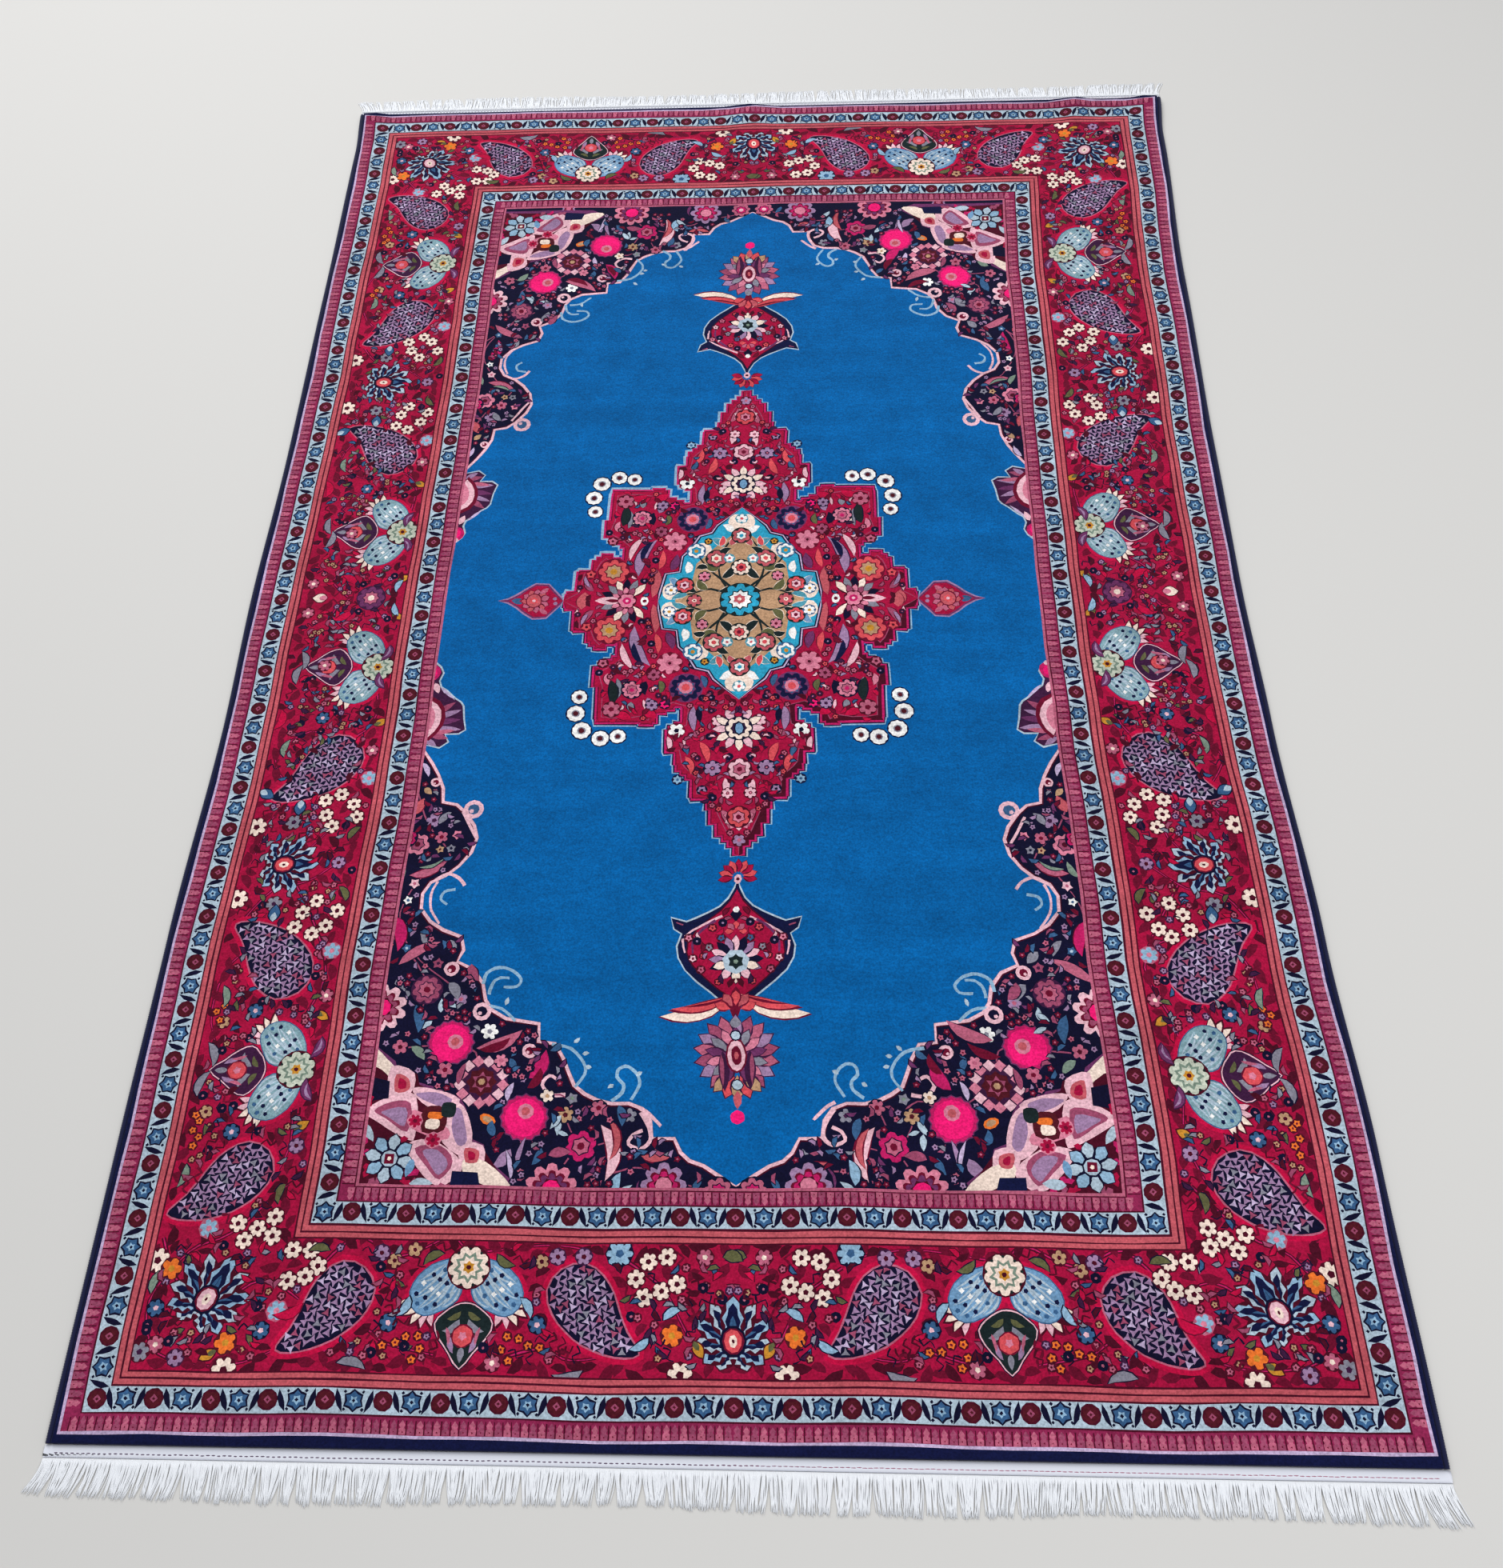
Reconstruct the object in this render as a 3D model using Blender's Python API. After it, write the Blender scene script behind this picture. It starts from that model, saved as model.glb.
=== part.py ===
"""Persian rug, hand-knotted, lying flat on a floor.

Metres, +Z up. The origin is on the floor under the middle of the rug, +Y runs
along the rug's length to its far end, and +X runs to its right.

The rug is worked out on its flat woven plan, (across, along), and then laid
down by lay(), which bows the long edges in, skews the ends a little, and
lifts the short ripples of the far end.
"""

import math
from random import Random

import bmesh
import bpy
from mathutils import Vector

# --- Driving dimensions -----------------------------------------------------

HALF_WIDTH = 0.675          # half of the woven width, selvedges included
NEAR_END = -1.049           # where the pile stops at the near end
FAR_END = 1.045             # where the pile stops at the far end
PILE_THICKNESS = 0.008      # pile and foundation together
PILE_ROUNDING = 0.002       # the pile's rim falls away by this much
GAP = 0.0003                # clearance between neighbouring pieces

SELVEDGE_WIDTH = 0.0070     # overcast edge, about as thick as it is wide
SELVEDGE_THICKNESS = 0.0066

WEB_WIDTH = 0.0120          # flat-woven cotton web at an end
WEB_THICKNESS = 0.0026

FRINGE_STRIP = 0.0045       # root strip that holds the locks
FRINGE_THICKNESS = 0.0022
LOCKS_PER_END = 120
LOCK_ROOT_SHARE = 0.66      # of the pitch from lock to lock
LOCK_TIP_SHARE = 0.40
LOCK_TIP_THICKNESS = 0.0010
LOCK_SWAY = 0.0012          # how far a tip wanders sideways
LOCK_SHORTEST = 0.93        # of the lock length there, taken at random
TIP_WAVE = 0.07             # the line of tips wanders by this share
TIP_WAVE_TURNS = 11.0       # radians of that wave in each metre across
CORNER_FLARE = 0.011        # sideways spread of the outermost locks
NEAR_LOCK_LENGTH = 0.0370
FAR_LOCK_LENGTH = 0.0345

# The long edges, measured from the middle line: they bow in at mid length.
EDGE_ROWS = (  # (along, left edge, right edge)
    (-1.050, -0.683, 0.682),
    (-0.750, -0.682, 0.677),
    (-0.500, -0.680, 0.667),
    (-0.200, -0.672, 0.656),
    (0.000, -0.675, 0.652),
    (0.250, -0.671, 0.654),
    (0.600, -0.673, 0.660),
    (0.950, -0.676, 0.672),
    (1.050, -0.681, 0.679),
)

# Short ripples of the far end, which stand off the floor.
RIPPLE_ROWS = (  # (across, half width, lift)
    (-0.655, 0.034, 0.0045),
    (-0.010, 0.048, 0.0050),
    (0.530, 0.034, 0.0050),
    (0.652, 0.038, 0.0050),
)
RIPPLE_REACH = 0.110        # how far a ripple runs into the rug

SKEW = -0.00426             # the ends lean a quarter of a degree off square

CELLS_ACROSS = 16           # even divisions of the width
CELLS_ALONG = 18            # even divisions of the flat part of the length
CELLS_IN_RIPPLES = 4        # divisions of the rippled stretch at the far end
CLOSEST_LINES = 0.006       # lines across that are nearer than this become one


# --- Laying the flat plan on the floor --------------------------------------

def smooth(t):
    """Ease from 0 to 1 as t goes from 0 to 1."""
    t = min(1.0, max(0.0, t))
    return t * t * (3.0 - 2.0 * t)


def edge_at(along, column):
    """One long edge's place at a length along the rug."""
    rows = EDGE_ROWS
    if along <= rows[0][0]:
        return rows[0][column]
    for low, high in zip(rows, rows[1:]):
        if along <= high[0]:
            share = smooth((along - low[0]) / (high[0] - low[0]))
            return low[column] + share * (high[column] - low[column])
    return rows[-1][column]


def lift_at(across, along):
    """Height of the rug's underside over the floor."""
    crest = 0.0
    for middle, half_width, lift in RIPPLE_ROWS:
        crest += lift * (1.0 - smooth(abs(across - middle) / half_width))
    if along <= FAR_END:
        return crest * smooth((along - FAR_END) / RIPPLE_REACH + 1.0)
    return crest * max(0.0, 1.0 - (along - FAR_END) / WEB_WIDTH)


def lay(across, along, height=0.0):
    """A point of the flat plan, at its place on the floor."""
    left, right = edge_at(along, 1), edge_at(along, 2)
    share = (across + HALF_WIDTH) / (2.0 * HALF_WIDTH)
    x = left + share * (right - left)
    return Vector((x + SKEW * along, along + SKEW * x, height + lift_at(across, along)))


def lay_mesh(bm):
    """Lay every corner of a mesh that is still in flat plan form."""
    for vert in bm.verts:
        vert.co = lay(*vert.co)


# --- Helpers ----------------------------------------------------------------

def start_scene():
    for obj in list(bpy.data.objects):
        bpy.data.objects.remove(obj, do_unlink=True)
    rug = bpy.data.collections.new("persian_rug")
    bpy.context.scene.collection.children.link(rug)
    return rug


def yarn(name, colour, roughness):
    """A matt yarn material."""
    mat = bpy.data.materials.new(name)
    mat.use_nodes = True
    shader = mat.node_tree.nodes["Principled BSDF"]
    shader.inputs["Base Color"].default_value = (*colour, 1.0)
    shader.inputs["Roughness"].default_value = roughness
    shader.inputs["Metallic"].default_value = 0.0
    return mat


def add_piece(rug, name, bm, material):
    """Turn a finished bmesh into one named object of the rug."""
    bmesh.ops.recalc_face_normals(bm, faces=bm.faces)
    mesh = bpy.data.meshes.new(name)
    bm.to_mesh(mesh)
    bm.free()
    obj = bpy.data.objects.new(name, mesh)
    obj.data.materials.append(material)
    rug.objects.link(obj)
    return obj


def spread(low, high, cells):
    """Evenly spaced lines from low to high."""
    return [low + (high - low) * number / cells for number in range(cells + 1)]


def lines_with_ripples(half):
    """Lines across the rug: even ones, and five for each ripple's shape."""
    wanted = spread(-half, half, CELLS_ACROSS)
    for middle, half_width, _lift in RIPPLE_ROWS:
        wanted += spread(middle - half_width, middle + half_width, 4)
    lines = [-half]
    for line in sorted(wanted):
        if line - lines[-1] > CLOSEST_LINES and half - line > CLOSEST_LINES:
            lines.append(line)
    return lines + [half]


def pile_lines_along():
    """Lines along the rug that the pile and its selvedges both bend at."""
    ripples_start = FAR_END - RIPPLE_REACH
    flat_part = spread(NEAR_END, ripples_start, CELLS_ALONG)
    return flat_part + spread(ripples_start, FAR_END, CELLS_IN_RIPPLES)[1:]


def flat_block(lines_across, lines_along, thickness):
    """A block in flat plan form: a grid on the given lines, raised straight up.

    The upper face's corners come back with the mesh.
    """
    bm = bmesh.new()
    cells = (len(lines_across) - 1, len(lines_along) - 1)
    bmesh.ops.create_grid(bm, x_segments=cells[0], y_segments=cells[1], size=0.5)
    for vert in bm.verts:
        vert.co.x = lines_across[round((vert.co.x + 0.5) * cells[0])]
        vert.co.y = lines_along[round((vert.co.y + 0.5) * cells[1])]
    raised = bmesh.ops.extrude_face_region(bm, geom=bm.faces[:])
    top = [item for item in raised["geom"] if isinstance(item, bmesh.types.BMVert)]
    bmesh.ops.translate(bm, vec=(0.0, 0.0, thickness), verts=top)
    return bm, top


# --- Pieces -----------------------------------------------------------------

def make_pile_carpet(rug):
    """The knotted pile on its foundation, one slab with a rounded upper rim."""
    half = HALF_WIDTH - SELVEDGE_WIDTH - GAP
    bm, top = flat_block(lines_with_ripples(half), pile_lines_along(), PILE_THICKNESS)
    upper = set(top)
    rim = [
        edge for edge in bm.edges
        if upper.issuperset(edge.verts)
        and any(not upper.issuperset(face.verts) for face in edge.link_faces)
    ]
    bmesh.ops.bevel(bm, geom=rim, offset=PILE_ROUNDING, affect="EDGES",
                    segments=2, profile=0.5, material=-1)
    lay_mesh(bm)
    return add_piece(rug, "pile_carpet", bm, yarn("pile_wool", (0.20, 0.03, 0.08), 0.95))


def make_selvedge(rug, name, side, material):
    """A long edge, overcast with wool: a thin roll along the pile's side."""
    radius = SELVEDGE_THICKNESS / 2.0
    across = side * (HALF_WIDTH - SELVEDGE_WIDTH / 2.0)
    curve = bpy.data.curves.new(name, "CURVE")
    curve.dimensions = "3D"
    curve.bevel_depth = radius
    curve.bevel_resolution = 2
    curve.use_fill_caps = True
    spline = curve.splines.new("POLY")
    lines_along = pile_lines_along()
    spline.points.add(len(lines_along) - 1)
    for point, along in zip(spline.points, lines_along):
        point.co = (*lay(across, along, radius), 1.0)
    obj = bpy.data.objects.new(name, curve)
    obj.data.materials.append(material)
    rug.objects.link(obj)
    return obj


def make_end_web(rug, name, size_along, material):
    """The narrow flat-woven cotton web that closes one end."""
    bm, _top = flat_block(lines_with_ripples(HALF_WIDTH), size_along, WEB_THICKNESS)
    lay_mesh(bm)
    return add_piece(rug, name, bm, material)


def strip_lines(pitch):
    """Where the root strip is divided across: both sides of every lock."""
    lines = [-HALF_WIDTH]
    for number in range(LOCKS_PER_END):
        middle = -HALF_WIDTH + (number + 0.5) * pitch
        lines.append(middle - pitch * LOCK_ROOT_SHARE / 2.0)
        lines.append(middle + pitch * LOCK_ROOT_SHARE / 2.0)
    lines.append(HALF_WIDTH)
    return lines


def grow_lock(bm, root_face, pitch, reach, rng):
    """Draw one lock out of the root strip: four sides, thinner to its tip."""
    middle = root_face.calc_center_median().x
    outermost = (abs(middle) / HALF_WIDTH) ** 6
    sway = rng.uniform(-LOCK_SWAY, LOCK_SWAY)
    sway += math.copysign(CORNER_FLARE * outermost, middle)
    reach *= rng.uniform(LOCK_SHORTEST, 1.0)
    reach *= 1.0 + TIP_WAVE * math.sin(TIP_WAVE_TURNS * middle)
    start = root_face.calc_center_median().y
    face = root_face
    for share in (0.5, 1.0):
        face = bmesh.ops.extrude_discrete_faces(bm, faces=[face])["faces"][0]
        width = pitch * (LOCK_ROOT_SHARE + share * (LOCK_TIP_SHARE - LOCK_ROOT_SHARE))
        height = FRINGE_THICKNESS + share * (LOCK_TIP_THICKNESS - FRINGE_THICKNESS)
        centre = middle + sway * share ** 2
        here = face.calc_center_median()
        for vert in face.verts:
            vert.co.x = centre + math.copysign(width / 2.0, vert.co.x - here.x)
            vert.co.y = start + reach * share
            vert.co.z = height if vert.co.z > here.z else 0.0


def make_fringe(rug, name, size_along, reach, material, seed):
    """The warp ends of one end: locks that share a narrow root strip.

    reach is the locks' length, negative where they point to the near side.
    """
    rng = Random(seed)
    pitch = 2.0 * HALF_WIDTH / LOCKS_PER_END
    bm, _top = flat_block(strip_lines(pitch), size_along, FRINGE_THICKNESS)
    outer = size_along[0] if reach < 0.0 else size_along[1]
    side_faces = [
        face for face in bm.faces
        if all(abs(vert.co.y - outer) < GAP for vert in face.verts)
    ]
    side_faces.sort(key=lambda face: face.calc_center_median().x)
    for root_face in side_faces[1::2]:
        grow_lock(bm, root_face, pitch, reach, rng)
    lay_mesh(bm)
    return add_piece(rug, name, bm, material)


def main():
    rug = start_scene()
    navy_wool = yarn("navy_wool", (0.012, 0.014, 0.045), 0.92)
    web_cotton = yarn("web_cotton", (0.78, 0.80, 0.84), 0.90)
    fringe_cotton = yarn("fringe_cotton", (0.80, 0.82, 0.85), 0.90)

    make_pile_carpet(rug)
    make_selvedge(rug, "selvedge_left", -1.0, navy_wool)
    make_selvedge(rug, "selvedge_right", 1.0, navy_wool)

    near_web = (NEAR_END - GAP - WEB_WIDTH, NEAR_END - GAP)
    far_web = (FAR_END + GAP, FAR_END + GAP + WEB_WIDTH)
    make_end_web(rug, "end_web_near", near_web, web_cotton)
    make_end_web(rug, "end_web_far", far_web, web_cotton)

    near_strip = (near_web[0] - GAP - FRINGE_STRIP, near_web[0] - GAP)
    far_strip = (far_web[1] + GAP, far_web[1] + GAP + FRINGE_STRIP)
    make_fringe(rug, "fringe_near", near_strip, -NEAR_LOCK_LENGTH, fringe_cotton, 11)
    make_fringe(rug, "fringe_far", far_strip, FAR_LOCK_LENGTH, fringe_cotton, 12)


main()
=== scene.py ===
# %% [markdown]
# # A Persian rug, from its frame to its fringe
#
# The rug is a hand-knotted carpet. Rows of wool knots on cotton warps carry the drawing, the long
# edges are overcast in navy wool, and each end closes with a cotton web and the cut warp ends.
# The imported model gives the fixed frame: the box of every piece that this script dresses.

# %% Load the frame
import math
import random

import bmesh
import bpy
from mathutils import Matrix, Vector, noise
from mathutils.geometry import delaunay_2d_cdt


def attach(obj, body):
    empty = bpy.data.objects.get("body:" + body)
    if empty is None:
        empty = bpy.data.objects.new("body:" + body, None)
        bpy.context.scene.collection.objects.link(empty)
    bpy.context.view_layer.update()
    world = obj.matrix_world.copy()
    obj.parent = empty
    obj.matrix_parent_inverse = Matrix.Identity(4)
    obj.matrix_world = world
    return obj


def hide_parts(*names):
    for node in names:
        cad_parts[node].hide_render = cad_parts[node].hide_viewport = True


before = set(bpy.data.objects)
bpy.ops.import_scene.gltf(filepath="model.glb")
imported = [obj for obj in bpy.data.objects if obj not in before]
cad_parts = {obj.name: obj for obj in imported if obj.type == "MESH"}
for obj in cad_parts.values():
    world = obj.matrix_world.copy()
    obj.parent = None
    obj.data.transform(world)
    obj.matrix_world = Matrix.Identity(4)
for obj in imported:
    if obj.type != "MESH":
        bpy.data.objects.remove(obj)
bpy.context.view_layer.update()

print("nodes:", sorted(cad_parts))

# %% [markdown]
# ## The plan of the rug
#
# A weaver works from a chart that is straight, and the rug comes off the loom a little uneven: the
# long sides draw in, the far end buckles in low ripples. So everything here is drawn on a straight
# plan in millimetres, with its middle at the rug's middle, and one function lays a point of the
# plan on the floor. The same few rows of numbers shaped the solids, so the dressed rug lies
# exactly where the frame says.

# %% Sizes of the plan, in millimetres
HALF_WIDTH = 675.0  # to the outside of the overcast edges
PILE_HALF_WIDTH = 668.0
NEAR_END = -1049.0
FAR_END = 1045.0
PILE_TOP = 8.0
KNOT_LAYER = 4.5  # the height at which the pile leaves its knots
GAP = 0.3  # between neighbouring pieces
WEB_WIDTH = 12.0
STRIP_WIDTH = 4.5  # of the knots at the fringe's roots
SKEW = -0.00426
RIPPLE_REACH = 110.0
MM_PER_METRE = 1000.0

EDGE_ROWS = (  # (along, left edge, right edge)
    (-1050.0, -683.0, 682.0), (-750.0, -682.0, 677.0), (-500.0, -680.0, 667.0),
    (-200.0, -672.0, 656.0), (0.0, -675.0, 652.0), (250.0, -671.0, 654.0), (600.0, -673.0, 660.0),
    (950.0, -676.0, 672.0), (1050.0, -681.0, 679.0),
)
RIPPLE_ROWS = (  # (across, half width, lift)
    (-655.0, 34.0, 4.5), (-10.0, 48.0, 5.0), (530.0, 34.0, 5.0), (652.0, 38.0, 5.0),
)
print("the pile is", 2.0 * PILE_HALF_WIDTH, "by", FAR_END - NEAR_END, "mm")

# %% Lay a point of the plan on the floor
def smooth(t):
    """An easing from 0 to 1 that is level at both ends."""
    t = min(1.0, max(0.0, t))
    return t * t * (3.0 - 2.0 * t)


def edge_at(along, column):
    """Where the rug's left (column 1) or right (column 2) edge is at a place along it."""
    for low, high in zip(EDGE_ROWS, EDGE_ROWS[1:]):
        if along <= high[0]:
            break
    share = smooth((along - low[0]) / (high[0] - low[0]))
    return low[column] + share * (high[column] - low[column])


def lift_at(across, along):
    """How far the ripples at the far end lift the rug."""
    crest = sum(
        lift * (1.0 - smooth(abs(across - middle) / half_width))
        for middle, half_width, lift in RIPPLE_ROWS
    )
    if along <= FAR_END:
        return crest * smooth((along - FAR_END) / RIPPLE_REACH + 1.0)
    return crest * max(0.0, 1.0 - (along - FAR_END) / WEB_WIDTH)


def lay(across, along, height=0.0):
    """A point of the plan, laid on the floor, in metres."""
    left, right = edge_at(along, 1), edge_at(along, 2)
    x = left + (across + HALF_WIDTH) / (2.0 * HALF_WIDTH) * (right - left)
    height += lift_at(across, along)
    return Vector((x + SKEW * along, along + SKEW * x, height)) / MM_PER_METRE


print("near left corner lies at", tuple(round(v, 4) for v in lay(-HALF_WIDTH, NEAR_END)))

# %% [markdown]
# ## The dyes
#
# Nearly forty wools make the rug. Each has a name here, as a dyer would list them, and its colour
# as the eye sees it, from 0 to 255. Blender mixes light in linear values, so a helper turns one
# into the other once, and the finished pile carries its dye in a colour attribute on the mesh.

# %% Name the wools
DYES = {
    "navy": (15, 20, 58),
    "ink": (14, 13, 42),
    "field blue": (2, 92, 158),
    "sky": (108, 148, 184),
    "ice": (168, 186, 200),
    "pale sky": (138, 172, 198),
    "steel": (54, 90, 130),
    "teal": (74, 140, 158),
    "pale teal": (126, 158, 168),
    "turquoise": (44, 152, 186),
    "crimson": (160, 14, 58),
    "bright crimson": (186, 12, 62),
    "maroon": (104, 12, 42),
    "raspberry": (136, 36, 76),
    "wine": (72, 10, 32),
    "brown": (78, 20, 32),
    "salmon": (186, 84, 94),
    "coral": (208, 76, 84),
    "rose": (178, 92, 118),
    "dusty rose": (150, 70, 100),
    "pink": (208, 122, 146),
    "blush": (226, 178, 190),
    "hot pink": (236, 26, 112),
    "magenta": (186, 28, 94),
    "lilac": (152, 120, 156),
    "pale lilac": (186, 166, 198),
    "purple": (104, 48, 92),
    "plum": (58, 24, 58),
    "cream": (236, 214, 200),
    "white": (236, 234, 232),
    "tan": (178, 140, 108),
    "gold": (194, 134, 46),
    "orange": (226, 112, 44),
    "grey": (128, 126, 140),
    "sage": (118, 136, 122),
    "pale sage": (188, 194, 178),
    "olive": (92, 92, 60),
    "bottle": (24, 36, 38),
}


def linear(dye):
    """A named wool as linear red, green and blue."""
    return [
        v / 12.92 if v <= 0.04045 else ((v + 0.055) / 1.055) ** 2.4
        for v in (part / 255.0 for part in DYES[dye])
    ]


print(len(DYES), "wools")

# %% [markdown]
# ## Shapes a weaver knows
#
# Flowers, leaves, stems and paisleys are closed outlines on the plan. Only a few kinds of outline
# make the whole drawing: an oval, a flower with lobes, a leaf about a bent spine, a leaf with
# teeth, a stem, and a curve through a few chosen points. A motif is a list of outlines, each with
# its wool, from the lowest layer to the top one, and it is drawn once about its own middle.

# %% Outlines
def oval(radius, sides=10, tall=1.0, at=(0.0, 0.0)):
    """A round or oval dot; tall is its height for a width of 1."""
    angles = [math.tau * side / sides for side in range(sides)]
    return [(at[0] + radius * math.cos(angle), at[1] + radius * tall * math.sin(angle))
            for angle in angles]


def blossom(radius, petals=6, notch=0.28, at=(0.0, 0.0), points=2):
    """A round flower: lobes with a notch between them."""
    steps = petals * points
    found = []
    for step in range(steps):
        angle = math.tau * step / steps
        swell = abs(math.cos(petals * angle / 2.0)) ** 0.6
        reach = radius * (1.0 - notch + notch * swell)
        found.append((at[0] + reach * math.sin(angle), at[1] + reach * math.cos(angle)))
    return found


def spine(root, tip, bow, steps):
    """Points on a bent line, each with the direction to its left."""
    run = (tip[0] - root[0], tip[1] - root[1])
    length = math.hypot(*run)
    side = (-run[1] / length, run[0] / length)
    for step in range(steps + 1):
        t = step / steps
        bend = 4.0 * bow * t * (1.0 - t)
        slope = 4.0 * bow * (1.0 - 2.0 * t) / length
        left = (side[0] - slope * run[0] / length, side[1] - slope * run[1] / length)
        size = math.hypot(*left)
        yield (
            t,
            (root[0] + t * run[0] + bend * side[0], root[1] + t * run[1] + bend * side[1]),
            (left[0] / size, left[1] / size),
        )


def both_sides(line, half_widths):
    """An outline round a line: up its left side and back down its right."""
    left = [(p[0] + s[0] * h, p[1] + s[1] * h) for (_, p, s), h in zip(line, half_widths)]
    right = [(p[0] - s[0] * h, p[1] - s[1] * h) for (_, p, s), h in zip(line, half_widths)]
    return left + right[::-1]


def leaf(root, tip, width, bow=0.0, steps=6, belly=0.45):
    """A plain leaf, widest at its belly."""
    line = list(spine(root, tip, bow, steps))
    power = math.log(0.5) / math.log(belly)
    halves = [0.5 * width * math.sin(math.pi * t**power) ** 0.85 + 0.05 for t, _, _ in line]
    return both_sides(line, halves)


def feather(root, tip, width, teeth=5, bow=0.0, bite=0.35):
    """A leaf with saw teeth on both edges."""
    line = list(spine(root, tip, bow, 2 * teeth))
    halves = [
        (0.5 * width * math.sin(math.pi * min(t, 0.999) ** 0.8) ** 0.6 + 0.05)
        * (1.0 if step % 2 else 1.0 - bite)
        for step, (t, _, _) in enumerate(line)
    ]
    return both_sides(line, halves)


def curve(points, steps=3, closed=False):
    """A soft line through a few chosen points."""
    count = len(points)
    found = []
    for index in range(count if closed else count - 1):
        around = []
        for offset in (-1, 0, 1, 2):
            place = index + offset
            place = place % count if closed else min(max(place, 0), count - 1)
            around.append(points[place])
        for step in range(steps):
            t = step / steps
            found.append(tuple(
                0.5 * (2.0 * s + (e - b) * t + (2.0 * b - 5.0 * s + 4.0 * e - a) * t**2
                       + (3.0 * s - b - 3.0 * e + a) * t**3)
                for b, s, e, a in zip(*around)))
    return found if closed else found + [points[-1]]


def stem(points, width, thin=1.0):
    """A line of wool along some points; thin is the share of its width left at its end."""
    line = []
    for index, point in enumerate(points):
        before = points[max(index - 1, 0)]
        after = points[min(index + 1, len(points) - 1)]
        run = (after[0] - before[0], after[1] - before[1])
        length = math.hypot(*run) or 1.0
        line.append((index / (len(points) - 1), point, (-run[1] / length, run[0] / length)))
    return both_sides(line, [0.5 * width * (1.0 + (thin - 1.0) * t) for t, _, _ in line])


print("a six-petalled flower has", len(blossom(9.0)), "points")

# %% Motifs go on the chart, mirrored as the weaver mirrors them
# Each copy is (1 for the right or -1 for the left, 1 for the near or -1 for the far half).
FOUR = ((1, 1), (-1, 1), (1, -1), (-1, -1))
SIDES = ((1, 1), (-1, 1))
ENDS = ((1, 1), (1, -1))
FIELD_MIDDLE = -8.0
SIZE_SLIP = 0.03

chart = {"border": [], "field": []}
hand = random.Random(27)


def put(part, motif, at=(0.0, 0.0), turn=0.0, size=1.0, copies=FOUR, slip=0.7):
    """Draw a motif about a place in the near right quarter and its mirrored places.

    turn is a compass angle: 0 points the motif's top to the near end, 90 to the side. slip is
    how far the weaver's hand may miss the place, in millimetres.
    """
    middle = FIELD_MIDDLE if part == "field" else 0.0
    ahead, aside = math.cos(math.radians(turn)), math.sin(math.radians(turn))
    for across, along in copies:
        off = (hand.uniform(-slip, slip), hand.uniform(-slip, slip))
        scale = size * (1.0 + SIZE_SLIP * hand.uniform(-slip, slip))
        for dye, outline in motif:
            placed = []
            for x, y in outline:
                a = at[0] + scale * (x * ahead + y * aside)
                b = at[1] + scale * (y * ahead - x * aside)
                placed.append((across * a + off[0], middle - along * (b + middle) + off[1]))
            chart[part].append((dye, placed))


def grown(outline, width):
    """A closed outline moved outwards, for the line of wool round a shape."""
    around = list(zip(outline[-1:] + outline[:-1], outline, outline[1:] + outline[:1]))
    turning = sum(p[0] * n[1] - n[0] * p[1] for _, p, n in around)
    way = width * math.copysign(1.0, turning)
    found = []
    for before, point, after in around:
        run = (after[0] - before[0], after[1] - before[1])
        length = math.hypot(*run) or 1.0
        found.append((point[0] + way * run[1] / length, point[1] - way * run[0] / length))
    return found


def both(outlines):
    """A motif with its own mirror image across its middle."""
    return [
        (dye, [(side * x, y) for x, y in outline])
        for dye, outline in outlines
        for side in (1, -1)
    ]


def inside(point, outline):
    """Whether a place lies in an outline."""
    x, y = point
    hit = False
    for (x0, y0), (x1, y1) in zip(outline, outline[1:] + outline[:1]):
        if (y0 > y) != (y1 > y) and x < x0 + (y - y0) * (x1 - x0) / (y1 - y0):
            hit = not hit
    return hit


print("a motif is placed", len(FOUR), "times, or", len(SIDES), "times on a middle line")

# %% Small flowers, leaves and buds
def daisy(petal, heart, radius=9.0, petals=6, line="wine", eye=None):
    """A small flower: a dark rim, petals, a heart and sometimes an eye."""
    made = [
        (line, oval(radius + 1.3, 8)),
        (petal, blossom(radius, petals, 0.36, points=4 if radius > 7 else 2)),
        (heart, oval(0.34 * radius, 5)),
    ]
    return made + ([(eye, oval(0.15 * radius, 5))] if eye else [])


def bud(petal, cup, length=18.0, width=11.0, line="wine"):
    """A closed flower in its cup."""
    return [
        (line, leaf((0, -2), (0, length + 2), width + 3)),
        (petal, leaf((0, 0), (0, length), width)),
        (cup, leaf((0, -1), (0, 0.55 * length), 0.6 * width)),
    ]


def frond(dye, length=24.0, width=7.0, bow=4.0, line="wine", vein=None):
    """A bent leaf with a dark rim and sometimes a vein."""
    steps = 3 if length < 15.0 else 5
    made = [
        (line, leaf((0, -1.5), (0, length + 1.5), width + 2.6, bow, steps)),
        (dye, leaf((0, 0), (0, length), width, bow, steps)),
    ]
    return made + ([(vein, leaf((0, 2), (0, 0.8 * length), 0.3 * width, bow))] if vein else [])


def lined_leaf(wool, line, root, tip, width, bow, rim):
    """A leaf between two places of the chart, with a rim of another wool round it."""
    return [(line, leaf(root, tip, width + rim, bow)), (wool, leaf(root, tip, width, bow))]


def full_flower(outer, ring, heart, radius=16.0, petals=8, line="wine"):
    """A larger flower with two rings of petals."""
    return [
        (line, oval(radius + 1.6, 14)),
        (outer, blossom(radius, petals, 0.24, points=4)),
        (line, blossom(0.66 * radius, petals, 0.2, points=2)),
        (ring, blossom(0.58 * radius, petals, 0.25, points=2)),
        (heart, oval(0.25 * radius, 7)),
    ]


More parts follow.
